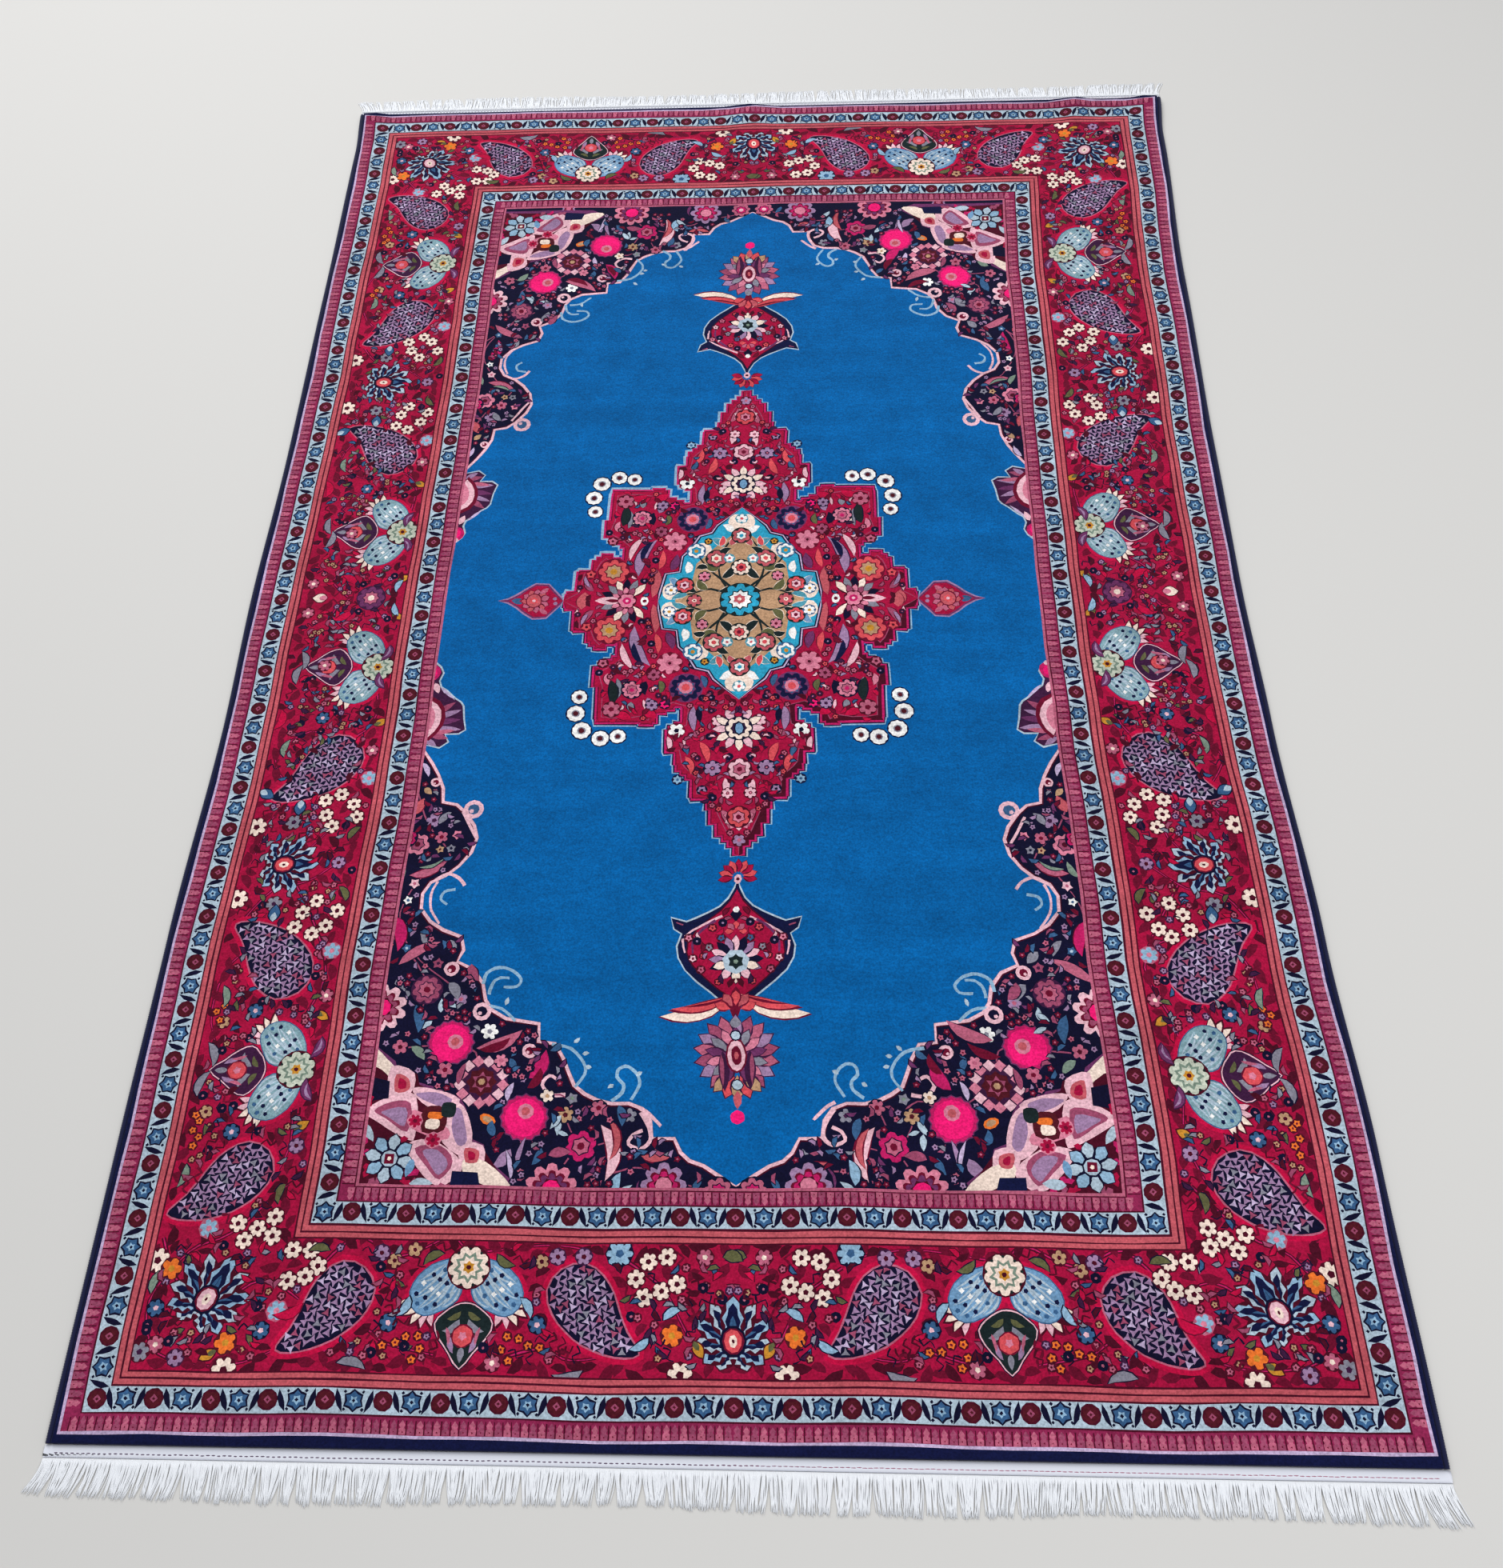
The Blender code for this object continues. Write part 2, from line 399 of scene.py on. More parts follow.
def fan(reach, low, high, count, wools, width, line="wine"):
    """Petals that fan out between two compass angles from the top, in turning wools."""
    made = []
    for index in range(count):
        angle = math.radians(low + (high - low) * index / (count - 1))
        lean = (math.sin(angle), math.cos(angle))
        root, tip = ((far * lean[0], far * lean[1]) for far in (0.25 * reach, reach))
        outer = (1.05 * tip[0], 1.05 * tip[1])
        made.append((line, leaf(root, outer, 1.3 * width, 0, 4)))
        made.append((wools[index % len(wools)], leaf(root, tip, width, 0, 4, 0.6)))
    return made


print("a full flower is", len(full_flower("pink", "rose", "cream")), "outlines")

# %% [markdown]
# ## The stripes
#
# Plain stripes, two guard borders with a running flower, and two narrow stripes of small crowns
# frame the broad crimson border. Each stripe is four bars that meet in mitred corners. The
# crimson ground goes down first, and the stripes are drawn over its flowers at the end, so that
# a flower on the edge is cut off by the stripe, as it is on the loom.

# %% Stripes as mitred bars
STRIPES = (  # (wool, across, along) of each stripe's outer corner, from the outside in
    ("navy", 675.0, 1067.0), ("pale lilac", 664.0, 1039.5), ("raspberry", 661.0, 1036.5),
    ("wine", 645.3, 1020.6), ("ice", 643.6, 1018.8), ("wine", 619.8, 995.0),
    ("salmon", 618.2, 993.2), ("wine", 612.8, 988.0), ("salmon", 610.8, 986.0),
    ("wine", 606.0, 981.4), ("crimson", 604.2, 979.6), ("wine", 461.0, 849.2),
    ("salmon", 459.2, 847.4), ("wine", 454.6, 842.8), ("salmon", 452.8, 841.0),
    ("wine", 447.2, 835.4), ("ice", 444.6, 832.8), ("wine", 422.6, 810.4),
    ("raspberry", 421.0, 808.8), ("wine", 406.2, 794.6), ("rose", 404.9, 793.6),
)
STRIPE_END = (401.6, 790.4)


def stripe(wool, outer, inner):
    """Four bars round the rug between two rectangles."""
    bars = [
        (wool, [(outer[0], -outer[1]), outer, inner, (inner[0], -inner[1])]),
        (wool, [outer, (-outer[0], outer[1]), (-inner[0], inner[1]), inner]),
    ]
    put("border", bars, copies=((1, 1), (-1, -1)), slip=0.0)


def lay_stripes(ground):
    """The crimson ground alone, or every stripe but it; each reaches in to the next one."""
    corners = [row[1:] for row in STRIPES] + [STRIPE_END]
    for (wool, *_), outer, inner in zip(STRIPES, corners, corners[1:]):
        if (wool == "crimson") == ground:
            stripe(wool, outer, inner)


lay_stripes(ground=True)
print(len(STRIPES), "stripes")

# %% [markdown]
# ## The crimson border
#
# The broad border repeats four things: a palmette with light-blue wings round a tulip, a paisley
# filled with tiny flowers, a lotus, and sprays of cream roses. They stand in the same order from
# each corner, so each is drawn once in the near right quarter. Stems and small leaves fill what is
# left, because a weaver of this kind leaves no plain ground.

# %% The winged palmette and the lotus
ROSE_DOTS = 9


def winged_palmette(wool="sky", shade="bottle", petal="cream", pale="ice"):
    """Two dotted wings round a tulip on its shield, with a rosette where they meet."""
    wing = curve([(5, -7), (22, -8), (40, -2), (54, 10), (61, 26), (57, 42), (44, 50), (28, 46),
                  (14, 38), (6, 27)], 2, closed=True)
    wings = [("bright crimson", grown(wing, 6.0))]
    for tip in ((34, 61), (46, 63), (57, 59), (66, 50), (71, 38)):
        wings.append(("wine", leaf((42, 34), (1.04 * tip[0], 1.04 * tip[1]), 13)))
        wings.append(("cream" if tip[0] > 50 else "blush", leaf((42, 34), tip, 9.5)))
    wings += [("steel", grown(wing, 1.2)), (wool, wing)]
    for root, tip in (((8, 20), (26, 42)), ((12, 12), (38, 46)), ((14, 4), (51, 44)),
                      ((18, -1), (57, 33)), ((24, -4), (54, 16))):
        wings.append((pale, leaf(root, tip, 8.5, 3)))
        wings.append((wool, leaf(root, tip, 3.2, 3)))
    for index, at in enumerate(((25, 3), (37, 8), (47, 17), (54, 28), (52, 38), (30, 13), (38, 23),
                                (44, 32), (42, 43), (22, 17), (30, 28), (33, 39), (20, 30))):
        wings.append(("white", blossom(3.4, 4, 0.4, at)) if index % 4 == 2
                     else ("navy" if index % 2 else "steel", oval(2.9, 5, at=at)))
    shield = curve([(0, 103), (-12, 88), (-25, 72), (-30, 58), (-22, 48), (-10, 40), (0, 38),
                    (10, 40), (22, 48), (30, 58), (25, 72), (12, 88)], 2, closed=True)
    tulip = [("ink", grown(shield, 2.6)), ("blush", grown(shield, 1.4)), (shade, shield)]
    petals = both([
        ("grey", leaf((5, 54), (22, 66), 8, 4)),
        ("lilac", leaf((12, 72), (8, 88), 6, -2)),
        ("olive", leaf((4, 46), (18, 54), 6, 2)),
        ("rose", leaf((18, 62), (14, 80), 4, 1)),
    ])
    flower = [("grey", leaf((0, 82), (0, 98), 7)), ("maroon", oval(12.4, 10, at=(0, 71))),
              ("coral", blossom(11, 6, 0.2, (0, 71), 3)), ("pink", blossom(5, 5, 0.3, (0, 71)))]
    rose = [("wine", oval(24, 16)), (petal, blossom(22.5, 9, 0.2, points=4)),
            ("sage", blossom(17, 9, 0.3, points=2)), (petal, blossom(12.5, 9, 0.3)),
            ("gold", blossom(7, 6, 0.3)), ("wine", oval(3.0, 6))]
    for index in range(ROSE_DOTS):
        angle = math.tau * (index + 0.5) / ROSE_DOTS
        at = (19.5 * math.sin(angle), 19.5 * math.cos(angle))
        rose.append(("bottle", oval(1.9, 5, at=at)))
    return both(wings) + tulip + petals + flower + rose


LOTUS_LEAVES = (  # (angle from the top, reach)
    (150, 0.6), (120, 0.76), (90, 0.86), (60, 1.0), (30, 1.02), (0, 1.06),
)


def lotus(reach=44.0, heart="coral"):
    """Serrated leaves that open round a heart, the longest at the top."""
    made = []
    for angle, share in LOTUS_LEAVES:
        lean = (math.sin(math.radians(angle)), math.cos(math.radians(angle)))
        root, tip, middle, core = (
            (far * lean[0], far * lean[1] - 4.0)
            for far in (5.0, reach * share, 0.86 * reach * share, 0.6 * reach * share)
        )
        made.append(("wine", leaf(root, (1.06 * tip[0], 1.06 * tip[1]), 22, 2)))
        made.append(("ice" if angle % 60 else "pale sky", feather(root, tip, 18.5, 3, 2, 0.42)))
        made.append(("navy", feather(root, middle, 11.5, 3, 2, 0.3)))
        made.append(("steel", leaf(root, core, 3.6, 2)))
    core = [("ink", oval(13.5, 10, 1.15)), ("maroon", oval(11, 10, 1.15)),
            (heart, oval(9, 9, 1.25)), ("cream", oval(4.2, 7, 1.5)), ("wine", oval(1.6, 5, 1.5))]
    return both(made) + core


print("a winged palmette is", len(winged_palmette()), "outlines")

# %% The paisley, filled with florets
FLORET_PITCH = 7.6
BOTEH = (  # a teardrop with a leaning tip, for a head of radius 1
    (0.0, -1.0), (0.74, -0.7), (1.02, 0.0), (0.98, 0.7), (0.78, 1.35), (0.38, 2.0), (-0.1, 2.5),
    (-0.5, 2.68), (-0.58, 2.4), (-0.6, 1.9), (-0.75, 1.3), (-0.95, 0.65), (-1.0, 0.0),
    (-0.74, -0.7),
)


def paisley(radius=34.0, flip=1):
    """A boteh about the middle of its head; flip leans its tip to the left or the right."""
    body = curve([(flip * radius * x, radius * y) for x, y in BOTEH], 2, closed=True)
    made = [("bright crimson", grown(body, 7.0)), ("rose", grown(body, 1.8)), ("ink", body)]
    wools = ("lilac", "lilac", "pale lilac", "lilac", "dusty rose", "lilac", "grey")
    dice = random.Random(5)
    rows = int(3.0 * radius / FLORET_PITCH)
    for row in range(-rows, rows):
        for column in range(-rows, rows):
            at = ((column + 0.5 * (row % 2)) * FLORET_PITCH, row * FLORET_PITCH * 0.87)
            near = ((2.4, 0), (-2.4, 0), (0, 2.4), (0, -2.4))
            if not all(inside((at[0] + dx, at[1] + dy), body) for dx, dy in near):
                continue
            lobes = blossom(1.0, 3, 0.62)
            turn = dice.uniform(0.0, math.tau)
            shape = [(at[0] + 5.1 * (x * math.cos(turn) - y * math.sin(turn)),
                      at[1] + 5.1 * (x * math.sin(turn) + y * math.cos(turn))) for x, y in lobes]
            made.append((dice.choice(wools), shape))
    return made


print("a paisley is", len(paisley()), "outlines")

# %% Set out the stems, the small shades and the large motifs
VINES = (  # places on the stems that tie the motifs together, near right quarter
    ((532, 0), (556, 30), (520, 62), (484, 80), (480, 114), (486, 160), (540, 186), (566, 150)),
    ((480, 114), (470, 190), (500, 226), (552, 214), (590, 250), (560, 300), (500, 345), (542,
        405)),
    ((542, 405), (500, 470), (470, 540), (490, 610), (490, 663), (478, 740), (500, 800)),
    ((592, 487), (560, 440), (520, 430), (485, 403)),
    ((592, 839), (570, 880), (530, 905), (480, 880), (440, 900)),
    ((470, 270), (520, 290), (575, 330), (590, 390)),
    ((480, 520), (540, 500), (585, 530), (598, 590), (580, 640)),
    ((470, 780), (520, 830), (560, 850), (590, 900), (570, 950), (500, 960), (440, 940)),
    ((440, 900), (400, 862), (350, 880), (300, 860), (273, 875), (200, 866), (150, 870), (110,
        880)),
    ((110, 880), (70, 910), (40, 960), (0, 960)), ((412, 965), (380, 940), (350, 955), (300, 965)),
    ((230, 960), (190, 950), (160, 960), (100, 950)),
)
for places in VINES:
    put("border", [("wine", stem(curve(places, 4), 4.6, 0.7)),
                   ("magenta", stem(curve(places, 4), 1.5, 0.7))])

SHADE_ROWS = ((604.0, 979.6, 466.0, 849.0, 15.0), (570.0, 940.0, 490.0, 875.0, 26.0))
SHADE = (leaf((0, -11), (0, 11), 11, 3, 4), leaf((0, -8), (0, 9), 9, -3, 4))
for outer_a, outer_b, inner_a, inner_b, pitch in SHADE_ROWS:
    for edge_a, edge_b in ((outer_a - 9, outer_b - 9), (inner_a + 6, inner_b + 6)):
        for index in range(int(edge_b / pitch)):
            place = (edge_a + hand.uniform(-7, 7), (index + 0.5) * pitch)
            put("border", [(hand.choice(("maroon", "wine", "maroon")), SHADE[index % 2])], place,
                hand.uniform(-60, 60))
        for index in range(int(edge_a / pitch)):
            place = ((index + 0.5) * pitch, edge_b + hand.uniform(-7, 7))
            put("border", [(hand.choice(("maroon", "wine", "maroon")), SHADE[index % 2])], place,
                hand.uniform(30, 150))

PAISLEYS = (  # (across, along, way the tip points, lean, head's radius)
    (524.0, 545.0, 142.0, 1, 33.5), (528.0, 777.0, 46.0, -1, 32.0), (514.0, 256.0, 42.0, -1, 34.5),
    (399.0, 902.0, 36.0, -1, 30.5), (157.0, 900.0, -37.0, 1, 31.5),
)
for across, along, way, lean, radius in PAISLEYS:
    put("border", paisley(radius, lean), (across, along), way)

PALMETTES = (  # (across, along, turn, wools of its wings, shield and rosette)
    (490.0, 663.0, 90.0, ("pale teal", "plum", "pale sage")),
    (480.0, 114.0, 90.0, ("pale teal", "plum", "pale sage")),
    (273.0, 876.0, 0.0, ("sky", "bottle", "cream")),
)
for across, along, turn, wools in PALMETTES:
    put("border", winged_palmette(*wools), (across, along), turn, 0.95)
put("border", lotus(44.0), (552.0, 405.0), 270.0)
put("border", lotus(48.0, "blush"), (541.0, 910.0), 205.0)
put("border", lotus(44.0, "coral"), (0.0, 944.0), 180.0, copies=ENDS)
print("outlines on the border:", len(chart["border"]))

# %% Set out the border's roses, flowers and buds
BORDER_FLOWERS = (  # (motif, its places as across and along)
    (daisy("cream", "wine", 9.4, 6), ((500, 308), (519, 316), (482, 322), (514, 337), (475, 340),
        (504, 353), (503, 455), (516, 470), (475, 468), (522, 489), (500, 498), (486, 487),
        (484, 826), (500, 838), (522, 832), (484, 846), (512, 850), (459, 861), (440, 861),
        (430, 877), (442, 888), (460, 892), (88, 867), (69, 862), (99, 884), (91, 903), (73, 897),
        (57, 890))),
    (daisy("cream", "wine", 12.5, 7), ((598, 352), (600, 450), (600, 872), (53, 977), (508, 978))),
    (daisy("steel", "blush", 8.6, 6, "ink"), ((550, 593), (550, 733), (543, 34), (543, 194),
        (349, 932), (198, 931), (590, 920), (478, 940))),
    (daisy("pale sky", "pink", 10.0, 6, "rose"), ((468, 285), (472, 520), (552, 838), (466, 921))),
    (daisy("pale sky", "steel", 14.0, 8, "ink"), ((118, 858),)),
    (daisy("lilac", "wine", 8.4, 6, "plum"), ((155, 862), (182, 862), (365, 862), (485, 403),
        (476, 750), (560, 968))),
    (daisy("rose", "cream", 8.4, 6), ((470, 243), (470, 575), (553, 112), (590, 25), (583, 955),
        (30, 862), (240, 968))),
    (daisy("grey", "plum", 10.0, 6), ((553, 346), (554, 457), (598, 962))),
    (daisy("tan", "wine", 7.5, 5), ((197, 868), (350, 870), (583, 711), (584, 606), (330, 858))),
    (daisy("orange", "maroon", 4.4, 5), ((352, 953), (340, 951), (330, 945), (318, 943), (314, 956),
        (321, 966), (194, 953), (206, 951), (216, 945), (228, 943), (232, 956), (225, 966),
        (588, 722), (594, 732), (586, 740), (594, 716), (590, 750), (588, 604), (594, 594),
        (586, 586))),
    (daisy("orange", "gold", 11.0, 5, "brown"), ((62, 940), (583, 880), (512, 953))),
)
for motif, places in BORDER_FLOWERS:
    for place in places:
        put("border", motif, place, hand.uniform(0, 60))

BORDER_LEAVES = (  # (motif, its places as across, along and the way its tip points)
    (bud("gold", "olive", 17, 10), ((479, 596, -60), (481, 732, -120), (473, 205, -120),
        (473, 28, -60), (520, 960, 60), (40, 945, -30))),
    (frond("purple", 26, 10, 4, "plum", "lilac"), ((468, 626, 20), (468, 700, 160), (468, 80, 20),
        (468, 148, 160))),
    (frond("grey", 30, 9, 5, "ink"), ((596, 632, -20), (596, 694, 200), (586, 88, -10),
        (587, 140, 190), (395, 972, -80), (150, 972, 80))),
    (frond("sage", 26, 8, 4, "ink"), ((592, 562, -10), (584, 252, 190), (592, 770, 10),
        (600, 905, 200))),
    (frond("pale sky", 22, 8, 3, "ink"), ((465, 30, 160), (85, 942, 60), (70, 925, 240),
        (330, 905, 30), (216, 905, -30))),
    (bud("steel", "ice", 20, 13, "ink"), ((550, 316, 0), (550, 480, 180), (604, 300, -60))),
    (frond("bright crimson", 30, 10, 6, "maroon"), ((530, 20, 60), (600, 180, 10), (440, 915, 70))),
    (frond("olive", 22, 8, -4, "ink"), ((480, 790, 10), (468, 355, 30), (468, 455, 150),
        (420, 862, 90), (300, 862, 60), (244, 862, -60))),
)
for motif, places in BORDER_LEAVES:
    for across, along, way in places:
        put("border", motif, (across, along), way)

put("border", full_flower("purple", "rose", "cream", 19.0, 8, "plum"), (507, 0), copies=SIDES)
put("border", bud("cream", "pink", 20, 15), (568, 0), 90.0, copies=SIDES)
put("border", frond("olive", 20, 12, 3, "ink"), (12, 862), -80.0)
print("outlines on the border with its flowers:", len(chart["border"]))

# %% Fill the crimson ground that is left
LARGEST_MOTIF = 110.0  # what is larger is a ground, and may be drawn on
PROBES = 5


def fill_ground(part, area, pitch, kinds, keep_clear, seed, within=None):
    """Set small motifs, about a pitch apart, where nothing else covers the ground."""
    low_a, high_a, low_b, high_b = area
    middle = FIELD_MIDDLE if part == "field" else 0.0
    taken = []
    for dye, outline in chart[part]:
        xs, ys = [p[0] for p in outline], [p[1] for p in outline]
        box = (min(xs), max(xs), min(ys), max(ys))
        if box[1] > low_a and box[0] < high_a and -box[2] > low_b and -box[3] < high_b:
            if box[1] - box[0] < LARGEST_MOTIF and box[3] - box[2] < LARGEST_MOTIF:
                taken.append((box, outline))
    dice = random.Random(seed)
    count = 0
    for row in range(int((high_b - low_b) / pitch)):
        for column in range(int((high_a - low_a) / pitch)):
            a = low_a + (column + dice.random()) * pitch
            b = low_b + (row + dice.random()) * pitch
            motif, way = dice.choice(kinds), dice.uniform(0.0, 360.0)
            at = (a, middle - (b + middle))
            if within and not inside((a, b), within):
                continue
            around = [math.tau * probe / PROBES for probe in range(PROBES)]
            probes = [(at[0] + keep_clear * math.cos(angle), at[1] + keep_clear * math.sin(angle))
                      for angle in around] + [at]
            if any(
                box[0] < x < box[1] and box[2] < y < box[3] and inside((x, y), outline)
                for box, outline in taken for x, y in probes
            ):
                continue
            put(part, motif, (a, b), way)
            count += 1
    return count


SQUIGGLE = curve(((-8, -3), (-3, 3), (3, -3), (8, 3)), 2)
SMALL_FILL = [
    [("wine", stem(SQUIGGLE, 2.6, 0.6))], frond("plum", 12, 4.5, -2, "ink"),
    frond("bright crimson", 13, 5, 2, "wine"), [("maroon", stem(SQUIGGLE, 3.4, 0.6))],
    frond("wine", 13, 5, 2, "wine"), daisy("ink", "rose", 4.4, 5, "ink"),
    frond("olive", 12, 5, 2, "ink"), daisy("rose", "wine", 3.8, 5, "wine"),
    frond("dusty rose", 12, 4.4, 3, "wine"), daisy("lilac", "wine", 3.6, 5, "plum"),
    frond("grey", 11, 4.4, 2, "ink"), frond("steel", 11, 4.2, 2, "ink"),
    [("ink", stem(SQUIGGLE, 2.0, 0.6))], frond("wine", 12, 5, -3, "ink"),
    daisy("tan", "maroon", 3.4, 5, "wine"),
]
for area in ((466.0, 600.0, 4.0, 846.0), (4.0, 600.0, 853.0, 975.0)):
    print("small motifs:", fill_ground("border", area, 7.6, SMALL_FILL, 3.2, 11))

# %% Lay the plain stripes over the border's edges
lay_stripes(ground=False)
print("outlines on the border with its stripes:", len(chart["border"]))

# %% Crowns and guard flowers
CROWN_PITCH = 8.6
CORNER_ROOM = 17.0  # left free of crowns at the end of a long row
END_ROOM = 7.0  # and of a short one
CROWNS = (  # (across, along) of the stripe's outer corner, 1 where the crowns point inwards
    (661.0, 1036.5, 1), (406.2, 794.6, -1),
)


def crown(dye):
    """A small crown with a dark bar beside it."""
    return [
        ("wine", [(-5.0, 0.4), (-3.8, 0.4), (-3.8, 13.4), (-5.0, 13.4)]),
        (dye, [(-3.5, 0.4), (3.5, 0.4), (3.5, 5.4), (2.0, 6.8), (3.2, 9.6), (0, 14.2),
               (-3.2, 9.6), (-2.0, 6.8), (-3.5, 5.4)]),
        ("maroon", oval(1.1, 3, at=(0, 3.2))),
    ]


for side_edge, end_edge, inwards in CROWNS:
    turn = 180.0 if inwards > 0 else 0.0
    for index in range(int((end_edge - CORNER_ROOM * max(inwards, 0)) / CROWN_PITCH)):
        b = (index + 0.5) * CROWN_PITCH
        put("border", crown("rose" if index % 2 else "dusty rose"), (side_edge, b), turn + 90.0,
            slip=0.3)
    for index in range(int((side_edge - END_ROOM * inwards) / CROWN_PITCH)):
        a = (index + 0.5) * CROWN_PITCH
        put("border", crown("rose" if index % 2 else "dusty rose"), (a, end_edge), turn, slip=0.3)

GUARDS = (  # (across, along, steps on an end, on a side, first flower on an end, on a side)
    (631.5, 1006.5, 22, 34, "red", "red"), (433.0, 821.0, 15, 26, "red", "blue"),
)
GUARD_FLOWERS = {
    "red": [("wine", oval(10.2, 10)), ("brown", blossom(8.8, 5, 0.16, points=2)),
            ("dusty rose", blossom(4.0, 4, 0.3)), ("brown", oval(1.6, 4))],
    "blue": [("ink", blossom(11.4, 6, 0.24, points=2)), ("steel", blossom(9.3, 6, 0.3, points=2)),
             ("pale sky", blossom(5.0, 5, 0.4)), ("ink", oval(2.0, 4))]
            + [("ink", oval(1.9, 4, at=(x, y))) for x in (-9.2, 9.2) for y in (-8.4, 8.4)],
}


def guard_row(fixed, corner, steps, first, along_side, with_corner):
    """Flowers down one guard from the rug's middle, with a slanted dark leaf between."""
    kinds = ("red", "blue") if first == "red" else ("blue", "red")
    for index in range(steps + (1 if with_corner else 0)):
        place = corner * index / steps
        at, copies = ((fixed, place), SIDES) if along_side else ((place, fixed), ENDS)
        turn = 90.0 if along_side else 0.0
        put("border", GUARD_FLOWERS[kinds[index % 2]], at, turn,
            copies=copies if index == 0 else FOUR, slip=0.5)
    for index in range(steps):
        place = corner * (index + 0.5) / steps
        to_blue = 1.0 if kinds[index % 2] == "red" else -1.0
        slant = leaf((-3.6, -10.8), (3.6, 10.8), 6.2, 1.2, 3)
        slant = [(to_blue * x, y) for x, y in slant]
        if along_side:
            slant = [(-x, y) for x, y in slant]
        at = (fixed, place) if along_side else (place, fixed)
        put("border", [("ink", slant)], at, 90.0 if along_side else 0.0, slip=0.4)


for across, along, end_steps, side_steps, end_first, side_first in GUARDS:
    guard_row(along, across, end_steps, end_first, False, True)
    guard_row(across, along, side_steps, side_first, True, False)
print("outlines on the border so far:", len(chart["border"]))

# %% [markdown]
# ## The field
#
# Inside the borders lies a plain blue field. Navy spandrels with a scrolled edge fill its
# corners, and a crimson medallion with side and end pendants stands in its middle.
# These outlines are drawn from a few places on the near right quarter, across and along from the
# rug's middle, and mirrored into the other three. Every edge is a line of pale wool with the
# ground laid over it, so the lines go down on all four quarters before any ground does.

# %% The spandrels' edge and ground
SPANDREL_EDGE = [
    (403, 245), (390, 264), (380, 281), (372, 300), (370, 320), (352, 324), (340, 335), (327, 353),
    (321, 370), (325, 390), (337, 408), (351, 421), (368, 430), (376, 445), (375, 465), (362, 482),
    (345, 493), (322, 502), (318, 518), (323, 533), (303, 543), (290, 560), (285, 580), (277, 592),
    (260, 602), (222, 607), (222, 628), (203, 630), (193, 647), (188, 660), (180, 678), (167, 688),
    (153, 695), (137, 699), (118, 699), (103, 705), (94, 718), (91, 738), (67, 738), (60, 753),
    (50, 762), (35, 767), (18, 778), (0, 788),
]
SPANDREL = SPANDREL_EDGE + [(0, 830), (430, 830), (430, 245)]


def lay_grounds(outline, layers):
    """A ground with its lines: each (wool, width) is laid on all four quarters in turn.

    Points on the rug's two middle lines stay there, so that the quarters meet.
    """
    for wool, width in layers:
        shape = [
            (0.0 if across == 0 else x, -FIELD_MIDDLE if along == -FIELD_MIDDLE else y)
            for (x, y), (across, along) in zip(grown(outline, width), outline)
        ]
        put("field", [(wool, shape)], slip=0.0)


lay_grounds(SPANDREL, (("steel", 3.0), ("blush", 2.4), ("wine", -1.6), ("ink", -3.2)))
print("the spandrels' edge turns at", len(SPANDREL_EDGE), "places")

# %% Scrolls on the spandrels' edge
SCROLLS = (  # (wool, width, points)
    ("blush", 4.3, ((187, 683), (202, 684), (213, 673), (206, 662), (196, 667))),
    ("blush", 4.7, ((104, 706), (94, 723), (92, 737), (102, 746), (115, 741), (111, 731),
        (101, 726))),
    ("blush", 4.3, ((106, 703), (95, 710), (82, 723))),
    ("blush", 3.7, ((346, 337), (335, 357), (325, 374))),
    ("blush", 4.1, ((329, 438), (337, 428), (352, 422), (366, 430))),
    ("blush", 3.3, ((361, 430), (367, 448), (364, 468), (352, 486))),
    ("pale sky", 3.7, ((337, 440), (350, 443), (353, 453), (345, 460))),
    ("pale sky", 3.9, ((206, 629), (184, 634), (170, 650), (168, 663), (178, 678))),
    ("pale sky", 4.1, ((290, 562), (287, 548), (273, 541), (257, 545), (247, 555), (251, 564),
        (266, 565))),
    ("pale sky", 3.9, ((284, 578), (281, 564), (273, 557), (262, 557))),
    ("pale sky", 3.9, ((280, 583), (263, 586), (247, 600))),
    ("pale sky", 4.1, ((138, 698), (127, 689), (126, 679), (133, 671), (131, 661), (121, 659),
        (111, 668), (108, 680), (117, 697))),
)
for wool, width, places in SCROLLS:
    put("field", [(wool, stem(curve(places, 3), width, 0.8))], slip=0.3)

SPIKES = ((183, 634, 176, 628), (173, 646, 165, 645), (169, 660, 162, 662), (262, 587, 259, 577),
          (112, 668, 105, 664), (135, 672, 141, 676))
for across, along, tip_across, tip_along in SPIKES:
    put("field", [("ice", leaf((across, along), (tip_across, tip_along), 5.0, 0, 3))], slip=0.3)

EDGE_RINGS = (  # (across, along, radius, wool inside)
    (382, 291, 6.5, "maroon"), (330, 330, 13.0, "steel"), (328, 542, 9.0, "maroon"),
    (288, 594, 11.0, "ink"), (231, 639, 8.5, "maroon"),
)
for across, along, radius, within in EDGE_RINGS:
    put("field", [("blush", oval(radius, 12)), (within, oval(0.58 * radius, 8)),
                  ("blush", oval(0.24 * radius, 5, at=(0.2 * radius, 0.2 * radius)))],
        (across, along), slip=0.3)
print("scrolls on the edge:", len(SCROLLS), "and rings:", len(EDGE_RINGS))

# %% Stems and flowers on the navy
SPANDREL_STEMS = (
    ((405, 300), (385, 350), (350, 395), (375, 415), (400, 470), (378, 520), (330, 560)),
    ((405, 500), (370, 535), (354, 567), (357, 610), (321, 631)),
    ((321, 631), (290, 640), (282, 677), (250, 700), (231, 715)),
    ((377, 635), (350, 632), (321, 631)), ((231, 715), (234, 750), (236, 775)),
    ((321, 650), (324, 675)),
    ((231, 715), (200, 690), (180, 700), (187, 712), (167, 745), (130, 740)),
    ((167, 745), (192, 782)), ((150, 703), (160, 725)),
    ((130, 770), (100, 765), (75, 778), (20, 790)),
)
for places in SPANDREL_STEMS:
    put("field", [("dusty rose", stem(curve(places, 4), 1.8, 0.8))], slip=0.4)


